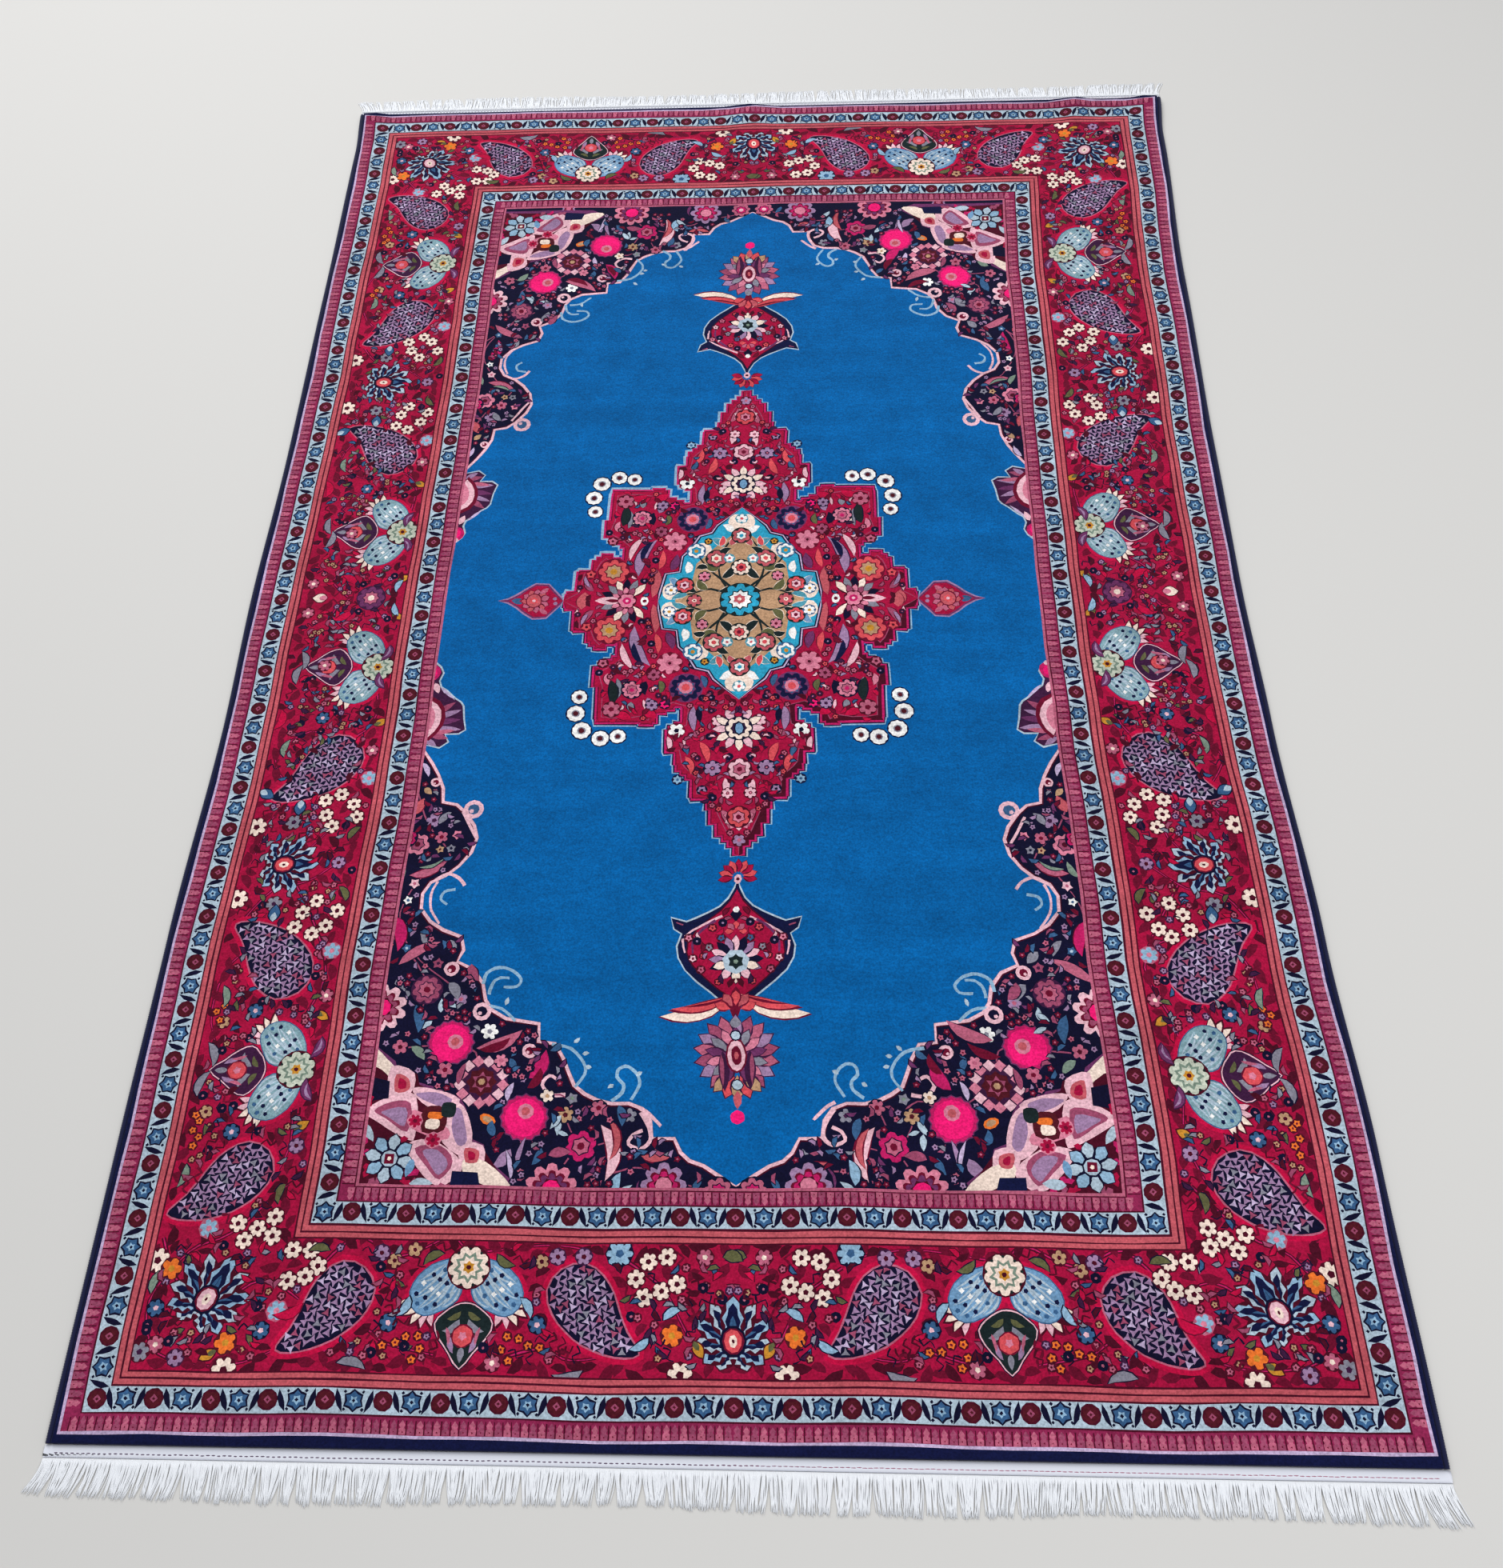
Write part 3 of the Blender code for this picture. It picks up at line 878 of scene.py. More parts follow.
def bloom(radius, heart_at):
    """A full rose in the brightest wool, with a pale heart to one side."""
    return [
        ("purple", blossom(radius + 2.5, 16, 0.08)), ("magenta", blossom(radius + 0.8, 16, 0.08)),
        ("hot pink", oval(0.86 * radius, 16)), ("pink", oval(0.36 * radius, 9, at=heart_at)),
        ("salmon", oval(0.2 * radius, 7, at=heart_at)),
    ]


WREATH_LOBES = 13


def wreath(radius):
    """A serrated ring of small pale lobes round a dark heart."""
    made = [("plum", oval(radius, 16))]
    for index in range(WREATH_LOBES):
        angle = math.tau * index / WREATH_LOBES
        at = (0.84 * radius * math.sin(angle), 0.84 * radius * math.cos(angle))
        made.append(("blush" if index % 2 else "pink", blossom(0.24 * radius, 4, 0.3, at)))
    made += [("brown", blossom(0.6 * radius, 8, 0.2)),
             ("dusty rose", blossom(0.42 * radius, 6, 0.4)),
             ("brown", oval(0.25 * radius, 8)), ("tan", oval(0.14 * radius, 6))]
    return made


put("field", bloom(25.0, (-5.0, -1.0)), (321, 631))
put("field", bloom(25.0, (-1.0, -7.0)), (231, 715))
put("field", wreath(29.0), (282, 677))

FIELD_DAISIES = (  # (petals, heart, radius, number of petals, across, along)
    ("white", "grey", 10, 6, 278, 617), ("lilac", "plum", 10, 6, 378, 345),
    ("rose", "maroon", 8.5, 5, 365, 368), ("rose", "maroon", 9, 5, 324, 663),
    ("rose", "maroon", 9, 6, 150, 703), ("grey", "plum", 8, 5, 117, 712),
    ("lilac", "rose", 8, 5, 313, 579), ("pink", "maroon", 6.5, 5, 345, 365),
    ("tan", "brown", 9, 6, 187, 711), ("grey", "sage", 7, 5, 180, 693),
    ("cream", "tan", 7.5, 5, 208, 690), ("rose", "wine", 9, 5, 377, 636),
    ("blush", "rose", 7, 5, 388, 432), ("white", "steel", 6, 5, 392, 453),
    ("grey", "ink", 6, 5, 350, 385), ("tan", "brown", 5.5, 5, 363, 385),
    ("pink", "rose", 8, 6, 262, 652), ("steel", "ice", 6, 5, 385, 515),
    ("dusty rose", "plum", 7, 5, 345, 535), ("coral", "maroon", 5, 5, 405, 512),
)
FIELD_FLOWERS = [  # (motif, across, along)
    (full_flower("dusty rose", "rose", "maroon", 17, 8, "plum"), 354, 567),
    (full_flower("magenta", "rose", "maroon", 17, 6, "ink"), 167, 745),
    (full_flower("pink", "dusty rose", "wine", 15, 6, "ink"), 392, 378),
]
FIELD_FLOWERS += [(daisy(*kind, "ink"), across, along) for *kind, across, along in FIELD_DAISIES]
FIELD_FLOWERS += [
    (full_flower("rose", "magenta", "blush", 15, 8, "ink"), 18, 794),
    ([("ink", oval(11.5, 9, 0.7)), ("orange", oval(9.5, 9, 0.6)), ("tan", oval(6, 7, 0.6))],
     271, 719),
]
for motif, across, along in FIELD_FLOWERS:
    put("field", motif, (across, along), hand.uniform(0, 40))

FIELD_LEAVES = (  # (wool, line, root, tip, width, bow)
    ("rose", "ink", (290, 636), (240, 613), 15, -6),
    ("maroon", "maroon", (284, 631), (250, 616), 7, -5),
    ("ice", "ink", (337, 598), (337, 581), 7, 0), ("ice", "ink", (338, 595), (351, 604), 6, 0),
    ("ice", "ink", (337, 595), (322, 602), 6, 0), ("ice", "ink", (193, 716), (193, 734), 7, 0),
    ("ice", "ink", (194, 723), (205, 739), 7, 0), ("ice", "ink", (192, 724), (180, 728), 5, 0),
    ("grey", "ink", (390, 555), (378, 570), 14, 0), ("steel", "ink", (366, 588), (360, 622), 12, 3),
    ("sage", "ink", (368, 640), (352, 656), 10, 2), ("grey", "ink", (326, 552), (314, 573), 12, 3),
    ("dusty rose", "ink", (312, 545), (300, 566), 12, -3),
    ("magenta", "plum", (232, 680), (215, 646), 15, -5),
    ("maroon", "maroon", (229, 676), (216, 652), 7, -4),
    ("steel", "ink", (208, 742), (217, 760), 9, 2), ("lilac", "ink", (240, 742), (258, 762), 13, 3),
    ("lilac", "ink", (236, 776), (228, 742), 5, 2),
    ("pale lilac", "ink", (238, 778), (246, 745), 5, -2),
    ("dusty rose", "ink", (200, 752), (176, 748), 11, 2),
    ("steel", "ink", (131, 713), (126, 737), 10, 2),
    ("blush", "maroon", (147, 722), (140, 783), 15, 12),
    ("salmon", "maroon", (141, 728), (138, 774), 7, 9),
    ("pale sky", "ink", (126, 787), (120, 760), 11, 3),
    ("ice", "ink", (124, 787), (108, 772), 7, 2),
    ("salmon", "maroon", (101, 756), (68, 755), 8, -3),
    ("magenta", "wine", (398, 468), (389, 512), 14, 5),
    ("grey", "ink", (368, 493), (357, 512), 9, 3), ("rose", "ink", (396, 543), (350, 514), 12, 4),
    ("grey", "ink", (341, 508), (328, 522), 11, 0),
    ("rose", "maroon", (392, 416), (350, 398), 10, -5),
    ("sage", "ink", (386, 410), (358, 399), 4, -4), ("grey", "ink", (368, 348), (355, 332), 9, 2),
    ("salmon", "maroon", (404, 337), (394, 314), 12, 0),
    ("tan", "ink", (398, 300), (388, 310), 8, 0), ("steel", "ink", (250, 640), (246, 655), 8, 2),
    ("pale lilac", "ink", (246, 685), (240, 664), 7, 2),
    ("steel", "ink", (200, 640), (212, 650), 7, 2), ("purple", "ink", (100, 790), (90, 762), 10, 4),
    ("steel", "ink", (45, 790), (36, 776), 7, 1),
    ("dusty rose", "ink", (310, 685), (304, 660), 7, 2),
    ("steel", "ink", (262, 742), (266, 725), 9, 3),
    ("pale lilac", "ink", (402, 262), (392, 282), 7, 2),
    ("sage", "ink", (405, 425), (394, 404), 8, -2),
)
for row in FIELD_LEAVES:
    put("field", lined_leaf(*row, 3.2))


def half_rosette(reach, outer, ring, heart, petals):
    """A flower cut off by the edge, with its serrated petals in two rings."""
    return [("ink", oval(reach + 2, 16)), (outer, blossom(reach, petals, 0.26, points=4)),
            ("maroon", blossom(0.74 * reach, petals, 0.3, points=4)),
            (ring, blossom(0.62 * reach, petals, 0.3, points=4)),
            ("wine", blossom(0.45 * reach, 7, 0.2)), (heart, oval(0.36 * reach, 9))]


HALF_ROSETTES = (  # (reach, outer petals, inner petals, heart, number of petals, across, along)
    (29, "blush", "dusty rose", "hot pink", 10, 404, 590),
    (29, "pink", "purple", "hot pink", 10, 196, 793), (25, "lilac", "magenta", "pink", 8, 76, 788),
    (12, "magenta", "rose", "hot pink", 6, 407, 370), (12, "lilac", "maroon", "rose", 6, 300, 804),
)
for *kind, across, along in HALF_ROSETTES:
    put("field", half_rosette(*kind), (across, along))
print("outlines on the field:", len(chart["field"]))

# %% The pale palmette across each corner
PALMETTE_SHADOW = [
    (408, 633), (380, 653), (377, 663), (355, 665), (352, 677), (332, 682), (303, 695), (295, 707),
    (287, 740), (272, 747), (268, 762), (236, 787), (260, 800), (408, 800),
]
CORNER_SHAPES = (  # (wool, points)
    ("purple", PALMETTE_SHADOW),
    ("wine", [(408, 640), (384, 659), (354, 668), (350, 680), (306, 699), (291, 745), (272, 752),
        (243, 790), (408, 796)]),
    ("cream", [(408, 637), (396, 645), (380, 660), (366, 672), (378, 676), (394, 664), (408, 655)]),
    ("blush", [(384, 659), (357, 667), (359, 690), (382, 694)]),
    ("blush", [(357, 684), (332, 685), (303, 697), (318, 712), (345, 700)]),
    ("blush", [(310, 700), (293, 712), (285, 745), (300, 758), (322, 735)]),
    ("blush", [(300, 746), (273, 748), (272, 771), (292, 773)]),
    ("cream", [(290, 762), (268, 766), (240, 790), (262, 793), (292, 776)]),
    ("blush", [(407, 711), (381, 694), (352, 692), (348, 738), (358, 741), (389, 724)]),
    ("blush", [(356, 748), (330, 742), (300, 760), (294, 778), (317, 792), (340, 774)]),
    ("pink", [(358, 726), (318, 742), (312, 730), (352, 708)]),
    ("ink", [(404, 672), (383, 676), (382, 696), (404, 700)]),
    ("navy", [(304, 776), (276, 777), (272, 792), (304, 794)]),
    ("dusty rose", [(396, 710), (378, 700), (357, 701), (357, 733), (382, 719)]),
    ("lilac", [(388, 711), (362, 706), (361, 727), (378, 718)]),
    ("dusty rose", [(347, 751), (320, 748), (304, 765), (316, 785), (332, 771)]),
    ("lilac", [(338, 754), (322, 753), (309, 768), (318, 780), (327, 770)]),
    ("salmon", [(377, 668), (363, 673), (361, 686), (376, 688)]),
    ("crimson", [(373, 673), (366, 676), (365, 684), (373, 684)]),
    ("salmon", [(292, 751), (277, 754), (278, 766), (290, 766)]),
    ("crimson", [(288, 754), (281, 757), (281, 763), (287, 763)]),
    ("lilac", [(352, 690), (330, 689), (312, 697), (322, 705), (342, 698)]),
    ("lilac", [(306, 706), (298, 714), (291, 742), (300, 748), (309, 728)]),
    ("brown", [(341, 706), (318, 707), (317, 731), (341, 733)]),
    ("cream", [(337, 720), (324, 719), (324, 729), (337, 729)]),
    ("orange", [(335, 711), (321, 712), (321, 718), (335, 718)]),
    ("bottle", [(321, 701), (307, 702), (308, 716), (321, 715)]),
)
STRAIGHT_EDGED = ("purple", "wine", "ink", "navy")
for wool, places in CORNER_SHAPES:
    shape = places if wool in STRAIGHT_EDGED else curve(places, 3, closed=True)
    put("field", [(wool, shape)], slip=0.0)
for across, along, radius in ((350, 721, 7.5), (328, 742, 8.0)):
    put("field", daisy("crimson", "maroon", radius, 7, "pink"), (across, along), slip=0.2)

CORNER_SPECKS = (
    (398, 776), (384, 787), (402, 756), (352, 786), (340, 790), (400, 742), (362, 744), (310, 794),
    (330, 793), (404, 700), (392, 790), (346, 776),
)
for number, place in enumerate(CORNER_SPECKS):
    wool = ("crimson", "dusty rose", "magenta")[number % 3]
    put("field", [(wool, feather((0, -8), (0, 8), 9, 2, 2, 0.5))], place, 40.0 * number, slip=0.3)
SKY_STAR = fan(27, 0, 315, 8, ("ice", "pale sky"), 13, "ink")
SKY_STAR += [("ink", oval(11, 9)), ("ice", oval(9, 9))]
put("field", SKY_STAR, (373, 763), 10.0, slip=0.2)
put("field", [("ice", leaf((347, 787), (322, 786), 12)), ("ice", leaf((406, 722), (392, 742), 10)),
              ("sky", leaf((346, 760), (352, 780), 9))], slip=0.2)
put("field", [("maroon", oval(7.5, 4, 1.0)), ("cream", oval(2.6, 5))], (373, 763), 45.0, slip=0.2)
print("shapes in each corner palmette:", len(CORNER_SHAPES))

# %% Fill the spandrels
NAVY_FILL = [
    frond("steel", 12, 5, 2, "ink"), frond("dusty rose", 12, 4.6, 3, "ink"),
    frond("lilac", 9, 4, 2, "ink"), frond("purple", 12, 4.6, -2, "ink"),
    daisy("rose", "maroon", 3.8, 5, "ink"), daisy("lilac", "plum", 3.8, 5, "ink"),
    frond("grey", 9, 4, 2, "ink"), daisy("maroon", "rose", 4.2, 5, "ink"),
    frond("maroon", 12, 5, 2, "ink"),
]
NAVY_SHOWS = SPANDREL_EDGE + [(0, 795), (240, 795), (300, 700), (350, 680), (405, 630)]
print("small motifs on navy:",
      fill_ground("field", (0.0, 404.0, 245.0, 793.0), 7.4, NAVY_FILL, 3.6, 3,
                  grown(NAVY_SHOWS, -7.0)))

# %% Half palmettes on the field's long edges
HALF_PALMETTE = [
    (408, 108), (402, 110), (395, 117), (391, 126), (395, 138), (392, 148), (384, 154), (372, 166),
    (364, 172), (360, 178), (358, 198), (354, 214), (362, 220), (380, 220), (374, 232), (384, 240),
    (408, 234),
]
lay_grounds(HALF_PALMETTE, (("ice", 1.6), ("plum", -0.8)))
EDGE_PETALS = (  # (wool, root, tip, width)
    ("dusty rose", (396, 190), (369, 171), 9), ("lilac", (396, 196), (362, 184), 8),
    ("purple", (396, 202), (361, 198), 9), ("lilac", (396, 210), (358, 213), 8),
    ("rose", (396, 218), (366, 214), 7), ("dusty rose", (400, 222), (376, 228), 8),
    ("lilac", (402, 226), (386, 237), 8), ("pale lilac", (392, 148), (372, 168), 4),
    ("blush", (402, 142), (396, 158), 9),
)
for wool, root, tip, width in EDGE_PETALS:
    put("field", [(wool, leaf(root, tip, width))], slip=0.2)
put("field", [
    ("maroon", leaf((403, 160), (398, 229), 34, 4)), ("blush", leaf((404, 166), (400, 224), 26, 4)),
    ("pink", leaf((404, 174), (402, 216), 14, 3)), ("magenta", oval(13, 12, 1.0, (405, 124))),
    ("hot pink", oval(9, 10, 1.0, (406, 125))), ("blush", oval(4, 6, 1.0, (403, 113))),
], slip=0.2)
print("petals on each half palmette:", len(EDGE_PETALS))

# %% [markdown]
# ## The medallion
#
# A pointed crimson medallion with stepped, scalloped edges stands in the middle. Its own middle
# is a pale cartouche. Here that holds a made-up bouquet in the rug's wools, alike on both sides of
# its two middle lines. White roses sit in the field beside each shoulder.

# %% The medallion's edge and ground
MEDALLION = [
    (240, 8), (238, 20), (227, 25), (224, 58), (208, 61), (202, 78), (189, 90), (177, 83),
    (166, 77), (162, 97), (170, 103), (187, 115), (194, 127), (188, 148), (187, 197), (165, 205),
    (145, 205), (130, 202), (118, 208), (110, 204), (104, 190), (82, 180), (74, 180), (76, 200),
    (92, 212), (96, 246), (84, 248), (82, 265), (75, 275), (62, 287), (60, 312), (42, 316),
    (38, 330), (30, 350), (22, 367), (8, 382), (0, 393), (0, 8),
]


def stepped(outline, step=6.5):
    """The same edge in square steps, as a weaver counts it out; its last two points stay."""
    found = []
    for (x0, y0), (x1, y1) in zip(outline, outline[1:-1]):
        steps = max(round(min(abs(x1 - x0), abs(y1 - y0)) / step), 1)
        for index in range(steps):
            start, end = index / steps, (index + 1) / steps
            low = (x0 + (x1 - x0) * start, y0 + (y1 - y0) * start)
            high = (x0 + (x1 - x0) * end, y0 + (y1 - y0) * end)
            outwards = (high[0], low[1]) if (x1 - x0) * (y1 - y0) > 0.0 else (low[0], high[1])
            found += [low, outwards]
    return found + outline[-2:]


lay_grounds(stepped(MEDALLION), (
    ("pale sky", 3.4), ("navy", 1.5), ("magenta", -0.5), ("wine", -3.6), ("crimson", -4.8),
))
lay_grounds(MEDALLION, (("dusty rose", -9.0), ("crimson", -10.2)))

ROSES = ((208, 163, 10.5), (212, 188, 12.0), (203, 214, 12.5), (178, 226, 11.5), (156, 223, 10.5))
for across, along, radius in ROSES:
    put("field", [("navy", oval(radius + 1.6, 12)), ("white", blossom(radius, 10, 0.08)),
                  ("grey", oval(0.46 * radius, 8)), ("brown", oval(0.32 * radius, 7))],
        (across, along), slip=0.3)
print("steps on a quarter of the medallion's edge:", len(stepped(MEDALLION)) // 2)

# %% Flowers and leaves on the crimson
MEDALLION_LEAVES = (  # (wool, line, root, tip, width, bow)
    ("lilac", "navy", (141, 50), (118, 114), 15, -9),
    ("navy", "navy", (139, 76), (124, 112), 6, -5),
    ("blush", "maroon", (155, 78), (136, 119), 9, -5),
    ("salmon", "maroon", (118, 14), (114, 62), 13, 3),
    ("coral", "maroon", (112, 62), (108, 94), 9, 2),
    ("bright crimson", "wine", (160, 190), (138, 196), 12, 3),
    ("bright crimson", "wine", (124, 186), (106, 194), 13, 3),
    ("lilac", "ink", (58, 176), (57, 214), 10, -2), ("ink", "ink", (53, 180), (50, 204), 6, 0),
    ("coral", "maroon", (50, 232), (40, 262), 10, 3),
    ("salmon", "maroon", (214, -6), (214, 20), 15, 0),
    ("blush", "maroon", (18, 288), (18, 312), 9, 2), ("blush", "wine", (92, 222), (90, 243), 7, 2),
    ("pink", "wine", (174, 128), (172, 146), 8, -2), ("grey", "ink", (160, 134), (158, 166), 7, 3),
    ("cream", "ink", (152, 136), (150, 162), 5, 2),
    ("bottle", "ink", (166, 136), (164, 176), 12, 3), ("ink", "ink", (122, 138), (122, 160), 9, -3),
    ("olive", "ink", (106, 138), (104, 158), 8, 3), ("grey", "ink", (140, 170), (140, 186), 9, 0),
    ("lilac", "ink", (118, 162), (116, 180), 10, 2),
    ("blush", "maroon", (124, 168), (122, 182), 4, 0), ("steel", "ink", (50, 130), (44, 150), 8, 2),
    ("magenta", "wine", (44, 112), (36, 140), 10, 2), ("purple", "wine", (98, 60), (90, 88), 12, 2),
    ("dusty rose", "wine", (200, 24), (212, 46), 9, -3),
    ("lilac", "wine", (206, 30), (214, 50), 5, -2), ("coral", "wine", (68, 250), (60, 276), 9, 3),
    ("rose", "wine", (22, 330), (12, 356), 9, 3), ("steel", "ink", (74, 236), (66, 252), 7, 2),
)
for row in MEDALLION_LEAVES:
    put("field", lined_leaf(*row, 3.0), slip=0.4)

MEDALLION_FLOWERS = (  # (motif, across, along)
    (full_flower("coral", "tan", "gold", 21, 8, "maroon"), 175, 57),
    (daisy("pink", "rose", 17, 7, "maroon", "wine"), 92, 110),
    (full_flower("navy", "steel", "hot pink", 21, 9, "purple"), 69, 148),
    ([("pink", oval(9.5, 10)), ("coral", oval(5.5, 8))], 69, 148),
    (daisy("rose", "maroon", 12, 6, "wine"), 166, 182),
    (daisy("white", "ink", 11, 5, "maroon"), 80, 214),
    (daisy("lilac", "plum", 11, 6, "ink", "rose"), 34, 270),
    (daisy("lilac", "ink", 6, 5, "ink"), 46, 301),
    (daisy("blush", "rose", 9, 6, "wine"), 26, 200),
    (daisy("coral", "wine", 7, 5, "maroon"), 206, 52),
    (daisy("dusty rose", "wine", 9, 6, "wine"), 112, 128),
    (daisy("rose", "wine", 7, 5, "wine"), 180, 110),
    (fan(33, -150, 150, 11, ("blush", "cream"), 10, "ink"), 0, 212),
    (full_flower("cream", "plum", "sky", 17, 8, "ink"), 0, 212),
    ([("ink", oval(7, 8, 1.5)), ("sky", oval(5.2, 8, 1.6))], 0, 212),
    (fan(19, -100, 100, 7, ("pink", "blush"), 7, "wine"), 0, 340),
    (daisy("blush", "maroon", 7.5, 6, "wine", "pink"), 14, 306),
    (daisy("lilac", "maroon", 7.0, 6, "ink"), 60, 112),
    (full_flower("pink", "rose", "magenta", 13, 8, "ink"), 140, 152),
    (daisy("lilac", "plum", 8, 6, "ink"), 113, 175),
    (daisy("hot pink", "wine", 6.5, 6, "ink"), 96, 174),
    (full_flower("blush", "rose", "maroon", 15, 6, "wine"), 0, 272),
    (full_flower("coral", "pink", "maroon", 14, 6, "wine"), 0, 340),
    (daisy("lilac", "rose", 8, 5, "wine"), 0, 372),
    (daisy("pale sky", "steel", 6.5, 6, "navy"), 77, 286),
)


def plant(rows, slip):
    """Set flowers on the field; those on its long middle line are put down only twice."""
    for motif, across, along in rows:
        put("field", motif, (across, along), copies=FOUR if across else ENDS, slip=slip)


plant(MEDALLION_FLOWERS, 0.4)


def side_palmette():
    """The palmette in each side lobe: leaves round a pink heart, its top towards the side."""
    made = fan(37, -130, 130, 13, ("cream", "ink", "grey"), 10)
    made += fan(23, -110, 110, 9, ("dusty rose", "pink"), 8)
    crest = [("blush", leaf((0, 8), (0, 44), 13)), ("maroon", leaf((0, 10), (0, 30), 6))]
    return made + crest + [("wine", oval(13.5, 10)), ("pink", blossom(12, 6, 0.2, points=4)),
                           ("magenta", oval(6, 8)), ("blush", oval(2.4, 6)),
                           ("white", oval(8, 8, 0.7, (0, -24))),
                           ("maroon", oval(3, 6, at=(0, -24)))]


put("field", side_palmette(), (153, 8), 90.0, copies=SIDES, slip=0.3)
print("flowers on the medallion:", len(MEDALLION_FLOWERS))

# %% The cartouche and its bouquet
CARTOUCHE = [
    (110, 8), (108, 20), (102, 53), (83, 56), (80, 83), (70, 93), (57, 117), (40, 122), (33, 135),
    (0, 168), (0, 8),
]
lay_grounds(CARTOUCHE, (("ink", 4.4), ("pale lilac", 2.6), ("ink", 0.6), ("turquoise", -1.6)))
put("field", [("tan", [(0, 8), (88, 8), (66, 40), (62, 70), (30, 104), (0, 130)])], slip=0.0)
put("field", [("cream", oval(12, 12, 1.2, (94, 24))), ("cream", oval(13, 12, 0.9, (54, 94))),
              ("cream", oval(11, 10, 1.3, (8, 142)))], slip=0.0)

BOUQUET_STEMS = (((0, 8), (26, 40), (30, 80), (8, 120)), ((0, 8), (40, 26), (72, 18), (92, 30)),
                 ((14, 30), (44, 60), (62, 88)))
for places in BOUQUET_STEMS:
    put("field", [("bottle", stem(curve(places, 4), 3.6, 0.6))], slip=0.2)
BOUQUET_LEAVES = (  # (wool, root, tip, width, bow)
    ("bottle", (26, 44), (10, 66), 11, 4), ("olive", (30, 62), (50, 70), 11, -4),
    ("bottle", (30, 82), (14, 96), 10, -3), ("teal", (24, 98), (42, 112), 10, 3),
    ("olive", (44, 26), (58, 44), 11, -4), ("bottle", (60, 22), (74, 38), 9, -3),
    ("teal", (70, 18), (92, 10), 9, 3), ("bottle", (46, 62), (62, 62), 9, 3),
    ("sky", (86, 30), (98, 46), 9, 3), ("white", (12, 122), (26, 136), 9, 3),
    ("salmon", (14, 100), (2, 112), 9, -3), ("white", (74, 54), (74, 74), 9, 3),
    ("bottle", (14, 30), (30, 22), 8, -3), ("coral", (30, 100), (26, 118), 8, 2),
)
for wool, *shape in BOUQUET_LEAVES:
    put("field", lined_leaf(wool, "cream", *shape, 2), slip=0.3)
BOUQUET_FLOWERS = (  # (motif, across, along)
    (full_flower("salmon", "cream", "coral", 14, 6, "bottle"), 34, 78),
    (full_flower("white", "turquoise", "gold", 12, 6, "steel"), 62, 92),
    (full_flower("coral", "blush", "maroon", 12, 6, "bottle"), 76, 34),
    (daisy("white", "gold", 8, 6, "steel"), 94, 26),
    (daisy("pink", "maroon", 8, 6, "bottle"), 50, 48),
    (daisy("white", "salmon", 7, 5, "teal"), 16, 78),
    (daisy("gold", "brown", 5, 5, "bottle"), 46, 108),
    (full_flower("salmon", "white", "turquoise", 13, 6, "bottle"), 0, 118),
    (daisy("white", "coral", 8, 5, "teal"), 0, 148),
    (full_flower("cream", "coral", "maroon", 13, 8, "bottle"), 0, 62),
)
plant(BOUQUET_FLOWERS, 0.3)
put("field", full_flower("turquoise", "white", "coral", 27, 10, "bottle"), (0, 8), copies=((1, 1),))
put("field", [("salmon", blossom(9, 6, 0.3)), ("cream", oval(3, 6))], (0, 8), copies=((1, 1),))
put("field", daisy("salmon", "cream", 10, 6, "bottle", "maroon"), (62, 8), copies=SIDES)
print("flowers in the bouquet:", len(BOUQUET_FLOWERS))

# %% The pendants
SIDE_PENDANT = [
    (330, 8), (316, 11), (303, 19), (293, 28), (280, 37), (262, 36), (252, 24), (243, 14), (240, 8),
]
lay_grounds(SIDE_PENDANT + [(262, 8)], (("lilac", 1.6), ("purple", -0.6), ("crimson", -3.0)))
put("field", fan(20, -160, 160, 11, ("rose", "salmon"), 9), (278, 8), 90.0, copies=SIDES)
put("field", [("maroon", oval(11.5, 12, 1.1)), ("salmon", oval(10, 12, 1.1)),
              ("coral", blossom(6.5, 6, 0.3)), ("blush", oval(2.6, 6))], (280, 8), copies=SIDES)
put("field", [("rose", leaf((262, 30), (274, 20), 7)), ("steel", leaf((298, 12), (312, 8), 6)),
              ("lilac", oval(3, 6, at=(252, 12)))], slip=0.2)

END_PENDANT = [
    (0, 424), (3, 436), (9, 449), (19, 460), (32, 468), (46, 475), (58, 480), (76, 475), (72, 488),
    (63, 495), (68, 511), (66, 525), (58, 540), (44, 554), (28, 567), (20, 574), (0, 584),
]
PENDANT_HEART = [
    (0, 438), (7, 453), (18, 466), (32, 478), (46, 491), (55, 506), (56, 519), (49, 534), (35, 549),
    (20, 563), (0, 578),
]
lay_grounds(END_PENDANT, (("ice", 2.0), ("navy", 0.0)))
lay_grounds(PENDANT_HEART, (("wine", 1.6), ("crimson", 0.0)))
PENDANT_LINES = (  # (wool, width, points)
    ("blush", 3.4, ((16, 474), (34, 483), (50, 492), (60, 500))),
    ("blush", 3.0, ((62, 502), (61, 512), (59, 520))),
    ("purple", 4.0, ((24, 478), (40, 490), (50, 506), (50, 520))),
    ("dusty rose", 2.0, ((62, 484), (70, 481))),
)
for wool, width, places in PENDANT_LINES:
    put("field", [(wool, stem(curve(places, 3), width, 0.6))], slip=0.2)

